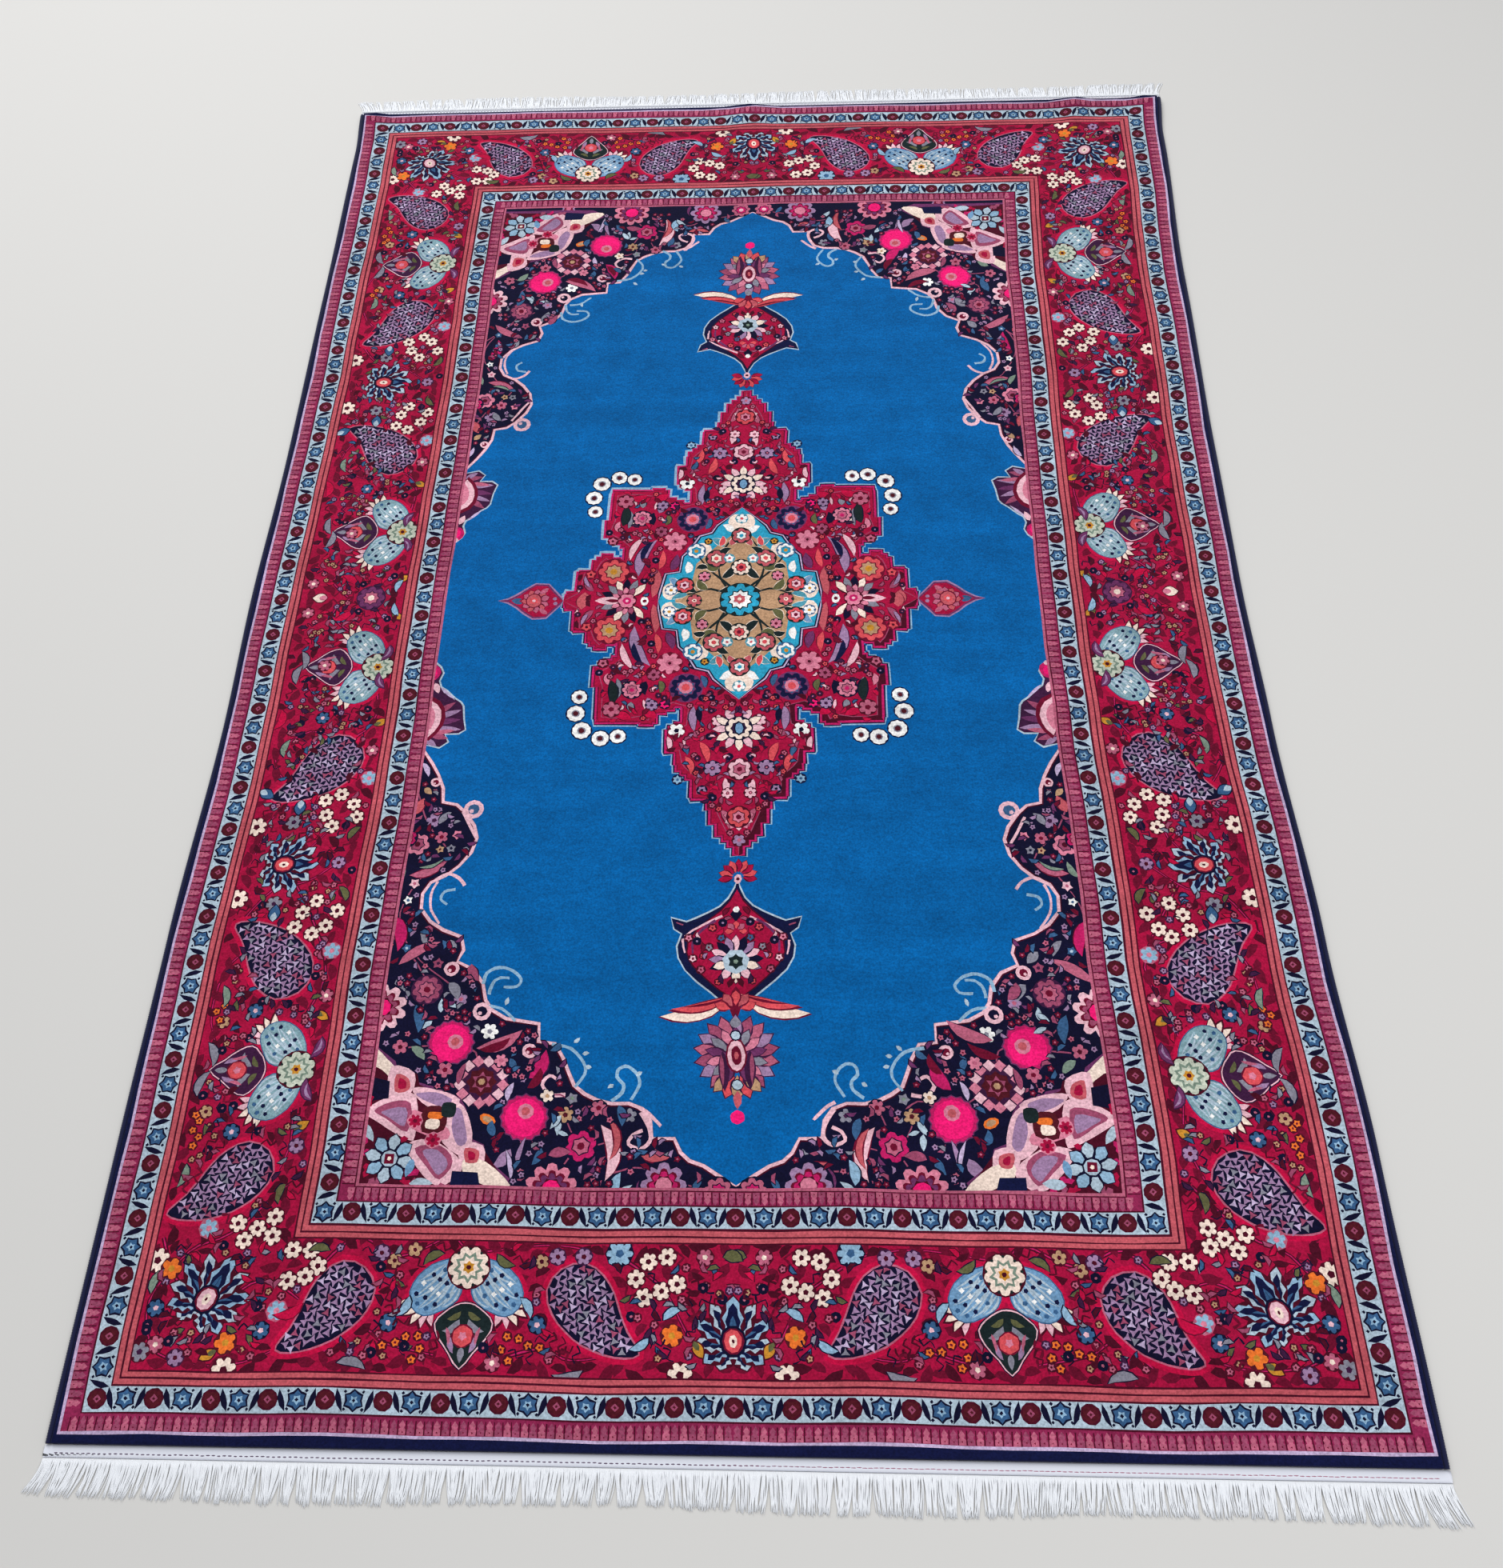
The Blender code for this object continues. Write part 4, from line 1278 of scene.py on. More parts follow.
PENDANT_WING = (  # (wool, tip, width, bow) of each leaf in the spread under the pendant
    ("maroon", (86, 596), 21, 8), ("cream", (84, 595), 18, 8), ("maroon", (76, 588), 13, 5),
    ("coral", (72, 586), 10, 5), ("maroon", (60, 583), 3, 3),
)
wing = [(wool, leaf((6, 570), tip, width, bow)) for wool, tip, width, bow in PENDANT_WING]
put("field", [("maroon", leaf((0, 560), (0, 600), 14))] + wing, slip=0.2)
PENDANT_FLOWERS = (  # (motif, across, along)
    (fan(23, 80, 280, 9, ("crimson", "coral"), 8), 0, 421),
    ([("blush", oval(5, 7, 1.3)), ("wine", oval(2.4, 5))], 0, 424),
    (fan(31, 70, 290, 11, ("lilac", "ink", "blush"), 9, "ink"), 0, 528),
    (fan(27, -75, 75, 5, ("cream", "blush"), 10, "ink"), 0, 530),
    ([("ice", blossom(16, 7, 0.3, points=3)), ("bottle", blossom(10, 6, 0.3)),
        ("sage", oval(3, 5))], 0, 530),
    ([("ink", oval(7, 4, 1.5)), ("white", oval(4.2, 6, at=(0, -6)))], 0, 470),
    (fan(13, 90, 270, 5, ("coral", "rose"), 7, "maroon"), 0, 492),
    (fan(24, 110, 250, 5, ("coral", "salmon"), 10, "maroon"), 0, 590),
)
plant(PENDANT_FLOWERS, 0.2)
PENDANT_DAISIES = (
    ("coral", 27, 487), ("pink", 55, 500), ("blush", 50, 526), ("grey", 31, 512), ("rose", 40, 540),
    ("steel", 17, 500),
)
for wool, across, along in PENDANT_DAISIES:
    put("field", daisy(wool, "maroon", 4.6, 5, "wine"), (across, along), slip=0.3)
print("outlines on the field with its pendants:", len(chart["field"]))

# %% The finials beyond the end pendants
FINIAL_FANS = (  # (reach, low angle, high angle, count, wools, width, along)
    (47, 38, 322, 15, ("dusty rose", "lilac", "rose"), 14, 642),
    (38, -42, 42, 5, ("tan", "coral"), 13, 656),
    (34, 25, 335, 13, ("purple", "pink", "grey"), 10, 644),
)
for *kind, along in FINIAL_FANS:
    put("field", fan(*kind, "plum"), (0, along), copies=ENDS, slip=0.2)
put("field", [("plum", leaf((15, 636), (14, 682), 13)),
              ("dusty rose", leaf((17, 640), (16, 676), 5))], slip=0.2)
put("field", [("maroon", oval(12, 12, 1.7)), ("blush", oval(10, 12, 1.8)),
              ("maroon", oval(6, 10, 1.9)), ("salmon", oval(2.6, 6, 1.9))],
    (0, 643), copies=ENDS, slip=0.2)
put("field", [("grey", oval(6, 8, at=(0, 601))),
              ("ink", oval(6.6, 8, at=(0, 616))), ("ice", oval(5, 8, at=(0, 616))),
              ("ink", oval(7, 8, at=(0, 673))), ("ice", oval(5.6, 8, at=(0, 673))),
              ("salmon", leaf((0, 680), (0, 700), 9)),
              ("hot pink", blossom(8, 6, 0.2, (0, 709), 3))], copies=ENDS, slip=0.2)
print("fans in a finial:", len(FINIAL_FANS))

# %% Fill the medallion and the pendants
CRIMSON_FILL = [
    frond("bright crimson", 11, 4.5, 2, "maroon"), frond("wine", 11, 4.5, 2, "wine"),
    daisy("rose", "wine", 3.8, 5, "wine"), frond("lilac", 8, 3.6, 2, "wine"),
    daisy("navy", "rose", 3.8, 5, "wine"), frond("dusty rose", 10, 4, 2, "wine"),
    daisy("coral", "wine", 3.6, 5, "wine"), frond("steel", 8, 3.6, 2, "ink"),
    frond("maroon", 12, 5, 2, "wine"), frond("plum", 11, 4.4, 2, "ink"),
    frond("blush", 8, 3.4, 2, "wine"), daisy("ink", "lilac", 4.4, 5, "ink"),
]
MEDALLION_RING = grown(MEDALLION[:-1] + grown(CARTOUCHE, 7.0)[-2::-1], -7.0)
for within in (MEDALLION_RING, grown(PENDANT_HEART, -6.0)):
    print("small motifs on crimson:",
          fill_ground("field", (0.0, 240.0, 8.0, 580.0), 7.2, CRIMSON_FILL, 3.4, 8, within))
print("outlines on the whole chart:", sum(len(part) for part in chart.values()))

# %% [markdown]
# ## From the chart to the pile
#
# The chart is thousands of outlines that lie over one another. A constrained Delaunay
# triangulation turns them into one flat mesh whose edges follow every outline, and it says which
# outlines cover each triangle. The topmost one gives the triangle its wool. That keeps every
# motif crisp at any distance, with no picture behind it. The pile is made in six slabs that meet
# edge to edge, two for the field and four for its borders, so that no mesh grows too heavy.

# %% The hand of the weaver: a slow drift in the drawing
KNOT_PATCH = 3.6
KNOT_SLIP = 0.7
NOISE_SEED = 27
noise.seed_set(NOISE_SEED)  # unseeded, Blender's noise vectors follow the clock, run by run


def woven(x, y):
    """Where a point of the chart ends up once the knots are beaten down by hand."""
    uneven = noise.noise_vector(Vector((x / KNOT_PATCH, y / KNOT_PATCH, 5.0)))
    across = 0.9 * math.sin(y / 61.0 + 1.0)
    along = 1.0 * math.sin(x / 83.0)
    return (
        x + across + 0.5 * math.sin(y / 23.0 + x / 150.0) + KNOT_SLIP * uneven.x,
        y + along + 0.6 * math.sin(x / 29.0 + y / 190.0 + 2.0) + KNOT_SLIP * uneven.y,
    )


LONGEST_EDGE = 45.0


def drawn(outline):
    """An outline drifted as woven, its long sides divided.

    The triangulation fills what lies to the left of the first side, so the outline runs
    anticlockwise and starts with its longest side, where it can't cross itself.
    """
    found = []
    for start, end in zip(outline, outline[1:] + outline[:1]):
        parts = max(1, math.ceil(math.dist(start, end) / LONGEST_EDGE))
        for part in range(parts):
            t = part / parts
            x, y = (s + t * (e - s) for s, e in zip(start, end))
            found.append(woven(x, y))
    turning = sum(p[0] * n[1] - n[0] * p[1] for p, n in zip(found, found[1:] + found[:1]))
    if turning < 0.0:
        found.reverse()
    sides = [math.dist(p, n) for p, n in zip(found, found[1:] + found[:1])]
    first = sides.index(max(sides))
    return found[first:] + found[:first]


def thinned(outline, step):
    """An outline with the points left out that lie closer than a step to the last kept one."""
    found = outline[:1]
    for point in outline[1:]:
        if math.dist(point, found[-1]) >= step:
            found.append(point)
    return found if len(found) > 3 else outline


DARK_LINES = ("wine", "maroon", "ink")
DARK_LINE_FACTOR = 3.5


def part_of_chart(area, names=("field", "border"), smallest=0.0, step=0.0):
    """The drifted outlines that reach into an area, if they are large enough.

    Where small ones are left out, so are the dark lines round the middling ones.
    """
    low_x, high_x, low_y, high_y = area
    found = []
    for name in names:
        for dye, outline in chart[name]:
            outline = drawn(thinned(outline, step) if step else outline)
            xs, ys = [p[0] for p in outline], [p[1] for p in outline]
            size = max(max(xs) - min(xs), max(ys) - min(ys))
            reaches = (max(xs) > low_x and min(xs) < high_x
                       and max(ys) > low_y and min(ys) < high_y)
            least = DARK_LINE_FACTOR * smallest if dye in DARK_LINES else smallest
            if reaches and size >= least:
                found.append((dye, outline))
    return found


print("the chart's middle drifts to", tuple(round(v, 2) for v in woven(0.0, 0.0)))

# %% Triangulate a part of the chart
GRID = 22.0
RIPPLE_GRID = 9.0
UNDERSIDE_GRID = 60.0
CHART_TOLERANCE = 0.02
UNDERSIDE_TOLERANCE = 0.001
INSIDE_ONLY = 1  # the triangulation keeps what lies inside the outlines


def ticks(low, high, pitch):
    """Even places from low to high, about a pitch apart, with both ends."""
    count = max(1, round((high - low) / pitch))
    return [low + (high - low) * step / count for step in range(count + 1)]


def rows_of(low, high):
    """Rows along the rug, closer together where the far end ripples."""
    bend = FAR_END - RIPPLE_REACH - 10.0
    if high <= bend:
        return ticks(low, high, GRID)
    return ticks(low, bend, GRID)[:-1] + ticks(bend, high, RIPPLE_GRID)


def plan_mesh(area, outlines):
    """Flat points and triangles for a part of the chart, each with its outline's number."""
    low_x, high_x, low_y, high_y = area
    columns, rows = ticks(low_x, high_x, GRID), rows_of(low_y, high_y)
    points = [(x, low_y) for x in columns[:-1]] + [(high_x, y) for y in rows[:-1]]
    points += [(x, high_y) for x in columns[:0:-1]] + [(low_x, y) for y in rows[:0:-1]]
    faces = [list(range(len(points)))]
    for outline in outlines:
        faces.append(list(range(len(points), len(points) + len(outline))))
        points += outline
    points += [(x, y) for x in columns[1:-1] for y in rows[1:-1]]
    places, _, triangles, _, _, covers = delaunay_2d_cdt(
        [Vector(point) for point in points], [], faces, INSIDE_ONLY, CHART_TOLERANCE, True
    )
    found = []
    for triangle, cover in zip(triangles, covers):
        middle = sum((places[index] for index in triangle), Vector((0.0, 0.0))) / 3.0
        if 0 in cover:
            top = next(
                number for number in sorted(cover, reverse=True)
                if number == 0 or inside(middle, outlines[number - 1])
            )
            found.append((triangle, top))
    return places, found


print("rows of the grid on the far half:", len(rows_of(0.0, FAR_END)))

# %% Raise the triangles into a closed slab
SNAP = 0.06


def paint(face, dye_layer, colour):
    """Give a face's corners one dye."""
    for loop in face.loops:
        loop[dye_layer] = colour


def open_edge(mesh):
    """The vertices of the slab's open edge, in order."""
    edges = {edge for edge in mesh.edges if edge.is_boundary}
    edge = next(iter(edges))
    first, vert = edge.verts
    found = [first]
    while vert is not first:
        found.append(vert)
        edge = next(e for e in vert.link_edges if e in edges and e is not edge)
        vert = edge.other_vert(vert)
    return found


def close_slab(mesh, area, dye_layer, colour, levels):
    """Extrude the open edge through some levels, then close it with a coarse flat mesh."""
    outer = [vert for vert in mesh.verts if vert.is_boundary]
    for vert in outer:
        for line in area[:2]:
            vert.co.x = line if abs(vert.co.x - line) < SNAP else vert.co.x
        for line in area[2:]:
            vert.co.y = line if abs(vert.co.y - line) < SNAP else vert.co.y
    bmesh.ops.remove_doubles(mesh, verts=outer, dist=SNAP)
    for level in levels:
        edges = [edge for edge in mesh.edges if edge.is_boundary]
        for item in bmesh.ops.extrude_edge_only(mesh, edges=edges)["geom"]:
            if isinstance(item, bmesh.types.BMVert):
                item.co.z = level
            if isinstance(item, bmesh.types.BMFace):
                paint(item, dye_layer, colour)
    edge_verts = open_edge(mesh)
    low_x, high_x, low_y, high_y = area
    points = [vert.co.xy for vert in edge_verts]
    points += [Vector((x, y)) for x in ticks(low_x, high_x, UNDERSIDE_GRID)[1:-1]
               for y in rows_of(low_y, high_y)[1:-1]]
    places, _, triangles, origins, _, _ = delaunay_2d_cdt(
        points, [], [list(range(len(edge_verts)))], INSIDE_ONLY, UNDERSIDE_TOLERANCE, True
    )
    verts = []
    for place, origin in zip(places, origins):
        old = [index for index in origin if index < len(edge_verts)]
        verts.append(edge_verts[old[0]] if old else mesh.verts.new((*place, levels[-1])))
    for triangle in triangles:
        paint(mesh.faces.new([verts[index] for index in triangle]), dye_layer, colour)
    drop_loose(mesh)


def drop_loose(mesh):
    """Delete the vertices that no face uses."""
    loose = [vert for vert in mesh.verts if not vert.link_faces]
    bmesh.ops.delete(mesh, geom=loose, context="VERTS")


def chart_slab(area, outlines, ground, levels):
    """A closed slab with the drawing on its first level's face."""
    places, triangles = plan_mesh(area, [outline for _, outline in outlines])
    mesh = bmesh.new()
    dye_layer = mesh.loops.layers.float_color.new("dye")
    wools = [ground] + [dye for dye, _ in outlines]
    verts = [mesh.verts.new((*place, levels[0])) for place in places]
    for triangle, cover in triangles:
        face = mesh.faces.new([verts[index] for index in triangle])
        paint(face, dye_layer, linear(wools[cover]) + [1.0])
    drop_loose(mesh)
    close_slab(mesh, area, dye_layer, linear("navy") + [1.0], levels[1:])
    return mesh


print("a wall's points snap to its line within", SNAP, "mm")

# %% Lay a finished mesh on the floor as an object
PILE_ROUNDING = 2.0
PILE_UNEVEN = 0.22
PILE_PATCH = 9.0
ON_RIM = 0.01


def pile_point(co):
    """A point of the pile: its outer rim rounded and its cut ends a little uneven."""
    x, y, z = co
    above = max(0.0, z - (PILE_TOP - PILE_ROUNDING))
    inset = PILE_ROUNDING - math.sqrt(PILE_ROUNDING**2 - above**2)
    if abs(x) > PILE_HALF_WIDTH - ON_RIM:
        x = math.copysign(PILE_HALF_WIDTH - inset, x)
    if y < NEAR_END + ON_RIM:
        y = NEAR_END + inset
    if y > FAR_END - ON_RIM:
        y = FAR_END - inset
    if z > PILE_TOP - ON_RIM:
        patch = Vector((x / PILE_PATCH, y / PILE_PATCH, 3.0))
        z += PILE_UNEVEN * (noise.noise(patch) - 0.5)
    return lay(x, y, z)


def plain_point(co):
    """A point of any other piece."""
    return lay(co.x, co.y, co.z)


def stand(name, data):
    """Put a mesh, a lamp or a camera into the scene as an object."""
    made = bpy.data.objects.new(name, data)
    bpy.context.scene.collection.objects.link(made)
    return made


def finish_piece(name, mesh, material, shape=plain_point, smooth_faces=True):
    """Turn a bmesh on the plan into a piece of the rug, laid in place."""
    for vert in mesh.verts:
        vert.co = shape(vert.co)
    bmesh.ops.recalc_face_normals(mesh, faces=mesh.faces)
    for face in mesh.faces:
        face.smooth = smooth_faces
    data = bpy.data.meshes.new(name)
    mesh.to_mesh(data)
    triangles = sum(len(face.verts) - 2 for face in mesh.faces)
    is_open = sum(edge.is_boundary for edge in mesh.edges)
    mesh.free()
    data.materials.append(material)
    piece = stand(name, data)
    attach(piece, "root")
    print(f"{name}: {triangles} triangles, {is_open} open edges")
    return piece


print("the pile's rim is rounded by", PILE_ROUNDING, "mm")

# %% [markdown]
# ## Wool
#
# The pile is wool cut short, so it has no gloss of its own: light sinks between the tufts and a
# faint sheen shows at low angles. Three things break up each dye, as they do on the rug: bands of
# slightly different dye lots across the width, a cloudy unevenness, and the single knots.

# %% Materials share one way to build their nodes
SHEEN_ROUGHNESS = 0.5
FIBRE_SPECULAR = 0.25


def dial(made, settings):
    """Set a node's sockets by name."""
    for socket, value in settings.items():
        made.inputs[socket].default_value = value


def new_material(name, roughness, sheen, colour=None, specular=FIBRE_SPECULAR):
    """A material and its shader, with the soft sheen of yarn."""
    material = bpy.data.materials.new(name)
    material.use_nodes = True
    shader = material.node_tree.nodes["Principled BSDF"]
    dial(shader, {"Roughness": roughness, "Sheen Weight": sheen,
                  "Sheen Roughness": SHEEN_ROUGHNESS, "Specular IOR Level": specular})
    if colour:
        dial(shader, {"Base Color": (*colour, 1.0)})
    return material, shader


def node(material, kind, **settings):
    """A new node in a material, with its settings."""
    made = material.node_tree.nodes.new(kind)
    for key, value in settings.items():
        setattr(made, key, value)
    return made


def wire(material, source, target):
    """Link two sockets."""
    material.node_tree.links.new(source, target)


def noise_at(material, scale, stretch=(1.0, 1.0, 1.0), detail=2.0):
    """Noise in the rug's own space; stretch squeezes it along an axis."""
    place = node(material, "ShaderNodeTexCoord")
    mapping = node(material, "ShaderNodeMapping")
    pattern = node(material, "ShaderNodeTexNoise")
    dial(mapping, {"Scale": stretch})
    dial(pattern, {"Scale": scale, "Detail": detail})
    wire(material, place.outputs["Object"], mapping.inputs["Vector"])
    wire(material, mapping.outputs["Vector"], pattern.inputs["Vector"])
    return pattern.outputs["Fac"]


def shade_by(material, colour, factor, low, high, spread=0.25):
    """Multiply a colour by a value that follows a factor."""
    span = node(material, "ShaderNodeMapRange")
    dial(span, {"From Min": 0.5 - spread, "From Max": 0.5 + spread, "To Min": low, "To Max": high})
    scale = node(material, "ShaderNodeVectorMath", operation="SCALE")
    wire(material, factor, span.inputs["Value"])
    wire(material, colour, scale.inputs[0])
    wire(material, span.outputs["Result"], scale.inputs["Scale"])
    return scale.outputs["Vector"]


def bump_by(material, shader, height, strength, distance):
    """Raise and sink the surface's shading by a height."""
    bump = node(material, "ShaderNodeBump")
    dial(bump, {"Strength": strength, "Distance": distance})
    wire(material, height, bump.inputs["Height"])
    wire(material, bump.outputs["Normal"], shader.inputs["Normal"])


print("yarn has a sheen roughness of", SHEEN_ROUGHNESS)

# %% The knotted wool
LOT_BANDS = (1.2, 26.0, 1.0)  # patches for each metre along each axis, as all the scales here
WIDE_CLOUDS = 22.0
SMALL_CLOUDS = 90.0
CLOUD_STRETCH = (1.0, 2.6, 1.0)
KNOT_SPOTS = 420.0
TUFTS = 620.0
TUFT_STRENGTH = 0.6
TUFT_HEIGHT = 0.0012
PILE_SPECULAR = 0.08


def knotted_wool(name, knots, clouds, lots):
    """Wool in the chart's dyes; knots, clouds and lots are the darkest and palest share of each."""
    material, shader = new_material(name, 0.95, 0.04, specular=PILE_SPECULAR)
    dye = node(material, "ShaderNodeAttribute", attribute_name="dye")
    colour = dye.outputs["Color"]
    colour = shade_by(material, colour, noise_at(material, 1.0, LOT_BANDS), *lots)
    colour = shade_by(material, colour, noise_at(material, WIDE_CLOUDS), *clouds)
    colour = shade_by(material, colour, noise_at(material, SMALL_CLOUDS, CLOUD_STRETCH), *clouds)
    colour = shade_by(material, colour, noise_at(material, KNOT_SPOTS), *knots)
    wire(material, colour, shader.inputs["Base Color"])
    tufts = noise_at(material, TUFTS, detail=3.0)
    bump_by(material, shader, tufts, TUFT_STRENGTH, TUFT_HEIGHT)
    return material


pile_wool = knotted_wool("pile_wool", (0.70, 1.30), (0.88, 1.12), (0.88, 1.12))
back_wool = knotted_wool("knot_back_wool", (0.86, 1.14), (0.95, 1.05), (0.92, 1.08))
print("wool materials:", pile_wool.name, "and", back_wool.name)

# %% The six slabs of pile
FIELD_SIDE = 404.0
FIELD_END = 793.0
PILE_SLABS = (  # (piece, its area on the plan, the drawings on it, from the lowest)
    ("pile_field_near", (-FIELD_SIDE, FIELD_SIDE, -FIELD_END, FIELD_MIDDLE), ("field", "border")),
    ("pile_field_far", (-FIELD_SIDE, FIELD_SIDE, FIELD_MIDDLE, FIELD_END), ("field", "border")),
    ("pile_border_left", (-PILE_HALF_WIDTH, -FIELD_SIDE, NEAR_END, FAR_END), ("border",)),
    ("pile_border_right", (FIELD_SIDE, PILE_HALF_WIDTH, NEAR_END, FAR_END), ("border",)),
    ("pile_border_near", (-FIELD_SIDE, FIELD_SIDE, NEAR_END, -FIELD_END), ("border",)),
    ("pile_border_far", (-FIELD_SIDE, FIELD_SIDE, FIELD_END, FAR_END), ("border",)),
)
PILE_LEVELS = (PILE_TOP, 7.7, 7.0, 6.0, KNOT_LAYER)
for name, area, drawings in PILE_SLABS:
    mesh = chart_slab(area, part_of_chart(area, drawings), "field blue", PILE_LEVELS)
    finish_piece(name, mesh, pile_wool, pile_point, False)

# %% [markdown]
# ## The back of the rug
#
# Turned over, a knotted rug shows the same drawing, knot by knot, because each knot wraps round
# the warps. So the layer under the pile is a slab of its own, with the larger motifs of the chart
# on its underside.

# %% The knotted foundation
SMALLEST_ON_BACK = 17.0
BACK_STEP = 4.0
back_area = (-PILE_HALF_WIDTH, PILE_HALF_WIDTH, NEAR_END, FAR_END)
back_drawing = part_of_chart(back_area, smallest=SMALLEST_ON_BACK, step=BACK_STEP)
back_mesh = chart_slab(back_area, back_drawing, "field blue", (0.0, KNOT_LAYER - 0.1))
foundation = finish_piece("rug_foundation", back_mesh, back_wool, pile_point, False)
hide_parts("pile_carpet")
print("outlines on the back:", len(back_drawing))

# %% [markdown]
# ## The overcast long edges
#
# Each long edge is a few warps wrapped round and round with navy wool. A grid rolled into a tube
# gives it, and its radius swells and sinks once for each turn of the wool, so that the wraps are
# real ridges. The phase runs on round the tube, which makes one long helix.

# %% Roll a grid into a sleeve
def sleeve(stations, around, place):
    """A closed tube: place(share along, turn share) gives each point on the plan."""
    mesh = bmesh.new()
    bmesh.ops.create_grid(mesh, x_segments=around, y_segments=stations, size=0.5)
    for vert in mesh.verts:
        vert.co = place(vert.co.y + 0.5, vert.co.x + 0.5)
    bmesh.ops.remove_doubles(mesh, verts=mesh.verts, dist=0.0005)
    ends = [edge for edge in mesh.edges if edge.is_boundary]
    bmesh.ops.holes_fill(mesh, edges=ends)
    return mesh


SELVEDGE_RADIUS = 3.3
SELVEDGE_MIDDLE = HALF_WIDTH - 3.5
WRAP = 2.5
WRAP_DEPTH = 0.14
RINGS_PER_WRAP = 3
SELVEDGE_SIDES = 7

navy_yarn, _ = new_material("navy_overcast_wool", 0.9, 0.2, linear("navy"))


def wrapped_edge(side):
    """The rule that lays out the sleeve on one side: 1 for the right, -1 for the left."""
    def place(share, turn):
        along = NEAR_END + share * (FAR_END - NEAR_END)
        phase = math.tau * (along / WRAP + turn)
        radius = SELVEDGE_RADIUS * (1.0 - WRAP_DEPTH * (0.5 + 0.5 * math.cos(phase)))
        angle = math.tau * turn
        return Vector((side * SELVEDGE_MIDDLE + radius * math.cos(angle), along,
                       SELVEDGE_RADIUS + radius * math.sin(angle)))
    return place


for name, side in (("selvedge_left", -1), ("selvedge_right", 1)):
    rings = int(RINGS_PER_WRAP * (FAR_END - NEAR_END) / WRAP)
    mesh = sleeve(rings, SELVEDGE_SIDES, wrapped_edge(side))
    piece = finish_piece(name + "_wrapped", mesh, navy_yarn)
    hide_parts(name)
print("turns of wool on each edge:", int((FAR_END - NEAR_END) / WRAP))

# %% [markdown]
# ## The cotton webs
#
# At each end the weaver changes from knots to plain weaving in white cotton, for about the width
# of a finger. A line of stitches runs along it and locks the last rows, in dark yarn on the left
# and in pink yarn on the right.

# %% The cotton and the stitching yarn
cotton, _ = new_material("web_cotton", 0.9, 0.2, (0.76, 0.78, 0.86))
stitch_yarn, shader = new_material("stitch_yarn", 0.9, 0.1)
MIX_SHARE, MIX_FIRST, MIX_SECOND, MIX_RESULT = 0, 6, 7, 2  # a colour Mix node's own sockets
rug_place = node(stitch_yarn, "ShaderNodeTexCoord")
across_rug = node(stitch_yarn, "ShaderNodeSeparateXYZ")
wire(stitch_yarn, rug_place.outputs["Object"], across_rug.inputs["Vector"])
turn_pink = node(stitch_yarn, "ShaderNodeMapRange")
dial(turn_pink, {"From Min": -0.05, "From Max": 0.15})
yarn_mix = node(stitch_yarn, "ShaderNodeMix", data_type="RGBA")
dial(yarn_mix, {MIX_FIRST: (0.14, 0.10, 0.16, 1.0), MIX_SECOND: (0.42, 0.16, 0.24, 1.0)})
wire(stitch_yarn, across_rug.outputs["X"], turn_pink.inputs["Value"])
wire(stitch_yarn, turn_pink.outputs["Result"], yarn_mix.inputs[MIX_SHARE])
wire(stitch_yarn, yarn_mix.outputs[MIX_RESULT], shader.inputs["Base Color"])
print("end materials:", cotton.name, "and", stitch_yarn.name)

# %% A ribbed web with its line of stitches
WEB_THICKNESS = 2.6
WEB_RIBS = 7
WEB_SIDES = 20
END_STATIONS = 450
STITCH_PITCH = 5.4
STITCH_MARGIN = 10.0  # between the line and the rug's corners
STITCH_PLACE = 0.66  # how far over the web the line runs
STITCH_WOBBLE = 0.25
DARK_STITCHES = 0.52  # the share of the line, from the left, that is sewn in dark yarn
DARK_WIDTH, PINK_WIDTH, STITCH_HEIGHT = 0.74, 0.5, 0.45


def web_mesh(inner, way):
    """A flat sleeve across the rug; inner is its edge at the pile and way points off the rug."""
    def place(share, turn):
        across = -HALF_WIDTH + 2.0 * HALF_WIDTH * share
        loop = turn * 2.0
        over = loop if loop <= 1.0 else 2.0 - loop
        from_pile = GAP + over * WEB_WIDTH
        rib = abs(math.sin(math.pi * (WEB_RIBS * over + 0.5 * (round(share * END_STATIONS) % 2))))
        edge = min(1.0, 4.0 * min(over, 1.0 - over) + 0.35)
        height = WEB_THICKNESS * edge * (0.86 + 0.14 * rib) if loop <= 1.0 else 0.0
        return Vector((across, inner + way * from_pile, height))
    return sleeve(END_STATIONS, WEB_SIDES, place)


def stitch_line(inner, way):
    """A running stitch: short raised bars in a row, each a flattened ball."""
    mesh = bmesh.new()
    count = int((2.0 * HALF_WIDTH - 2.0 * STITCH_MARGIN) / STITCH_PITCH)
    for index in range(count):
        ball = bmesh.ops.create_icosphere(mesh, subdivisions=1, radius=1.0)["verts"]
        dark = index < DARK_STITCHES * count
        length = STITCH_PITCH * (hand.uniform(0.36, 0.48) if dark else 0.56)
        wobble = hand.uniform(-STITCH_WOBBLE, STITCH_WOBBLE)
        at = Vector((-HALF_WIDTH + STITCH_MARGIN + (index + 0.5) * STITCH_PITCH,
                     inner + way * (GAP + STITCH_PLACE * WEB_WIDTH + wobble),
                     WEB_THICKNESS - 0.25))
        size = (length, DARK_WIDTH if dark else PINK_WIDTH, STITCH_HEIGHT)
        bmesh.ops.scale(mesh, vec=size, verts=ball)
        bmesh.ops.translate(mesh, vec=at, verts=ball)
    return mesh


RUG_ENDS = (("near", NEAR_END, -1), ("far", FAR_END, 1))
for name, inner, way in RUG_ENDS:
    piece = finish_piece(f"end_web_{name}_woven", web_mesh(inner, way), cotton)
    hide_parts(f"end_web_{name}")
    piece = finish_piece(f"web_stitches_{name}", stitch_line(inner, way), stitch_yarn)
print("ribs on each web:", WEB_RIBS)

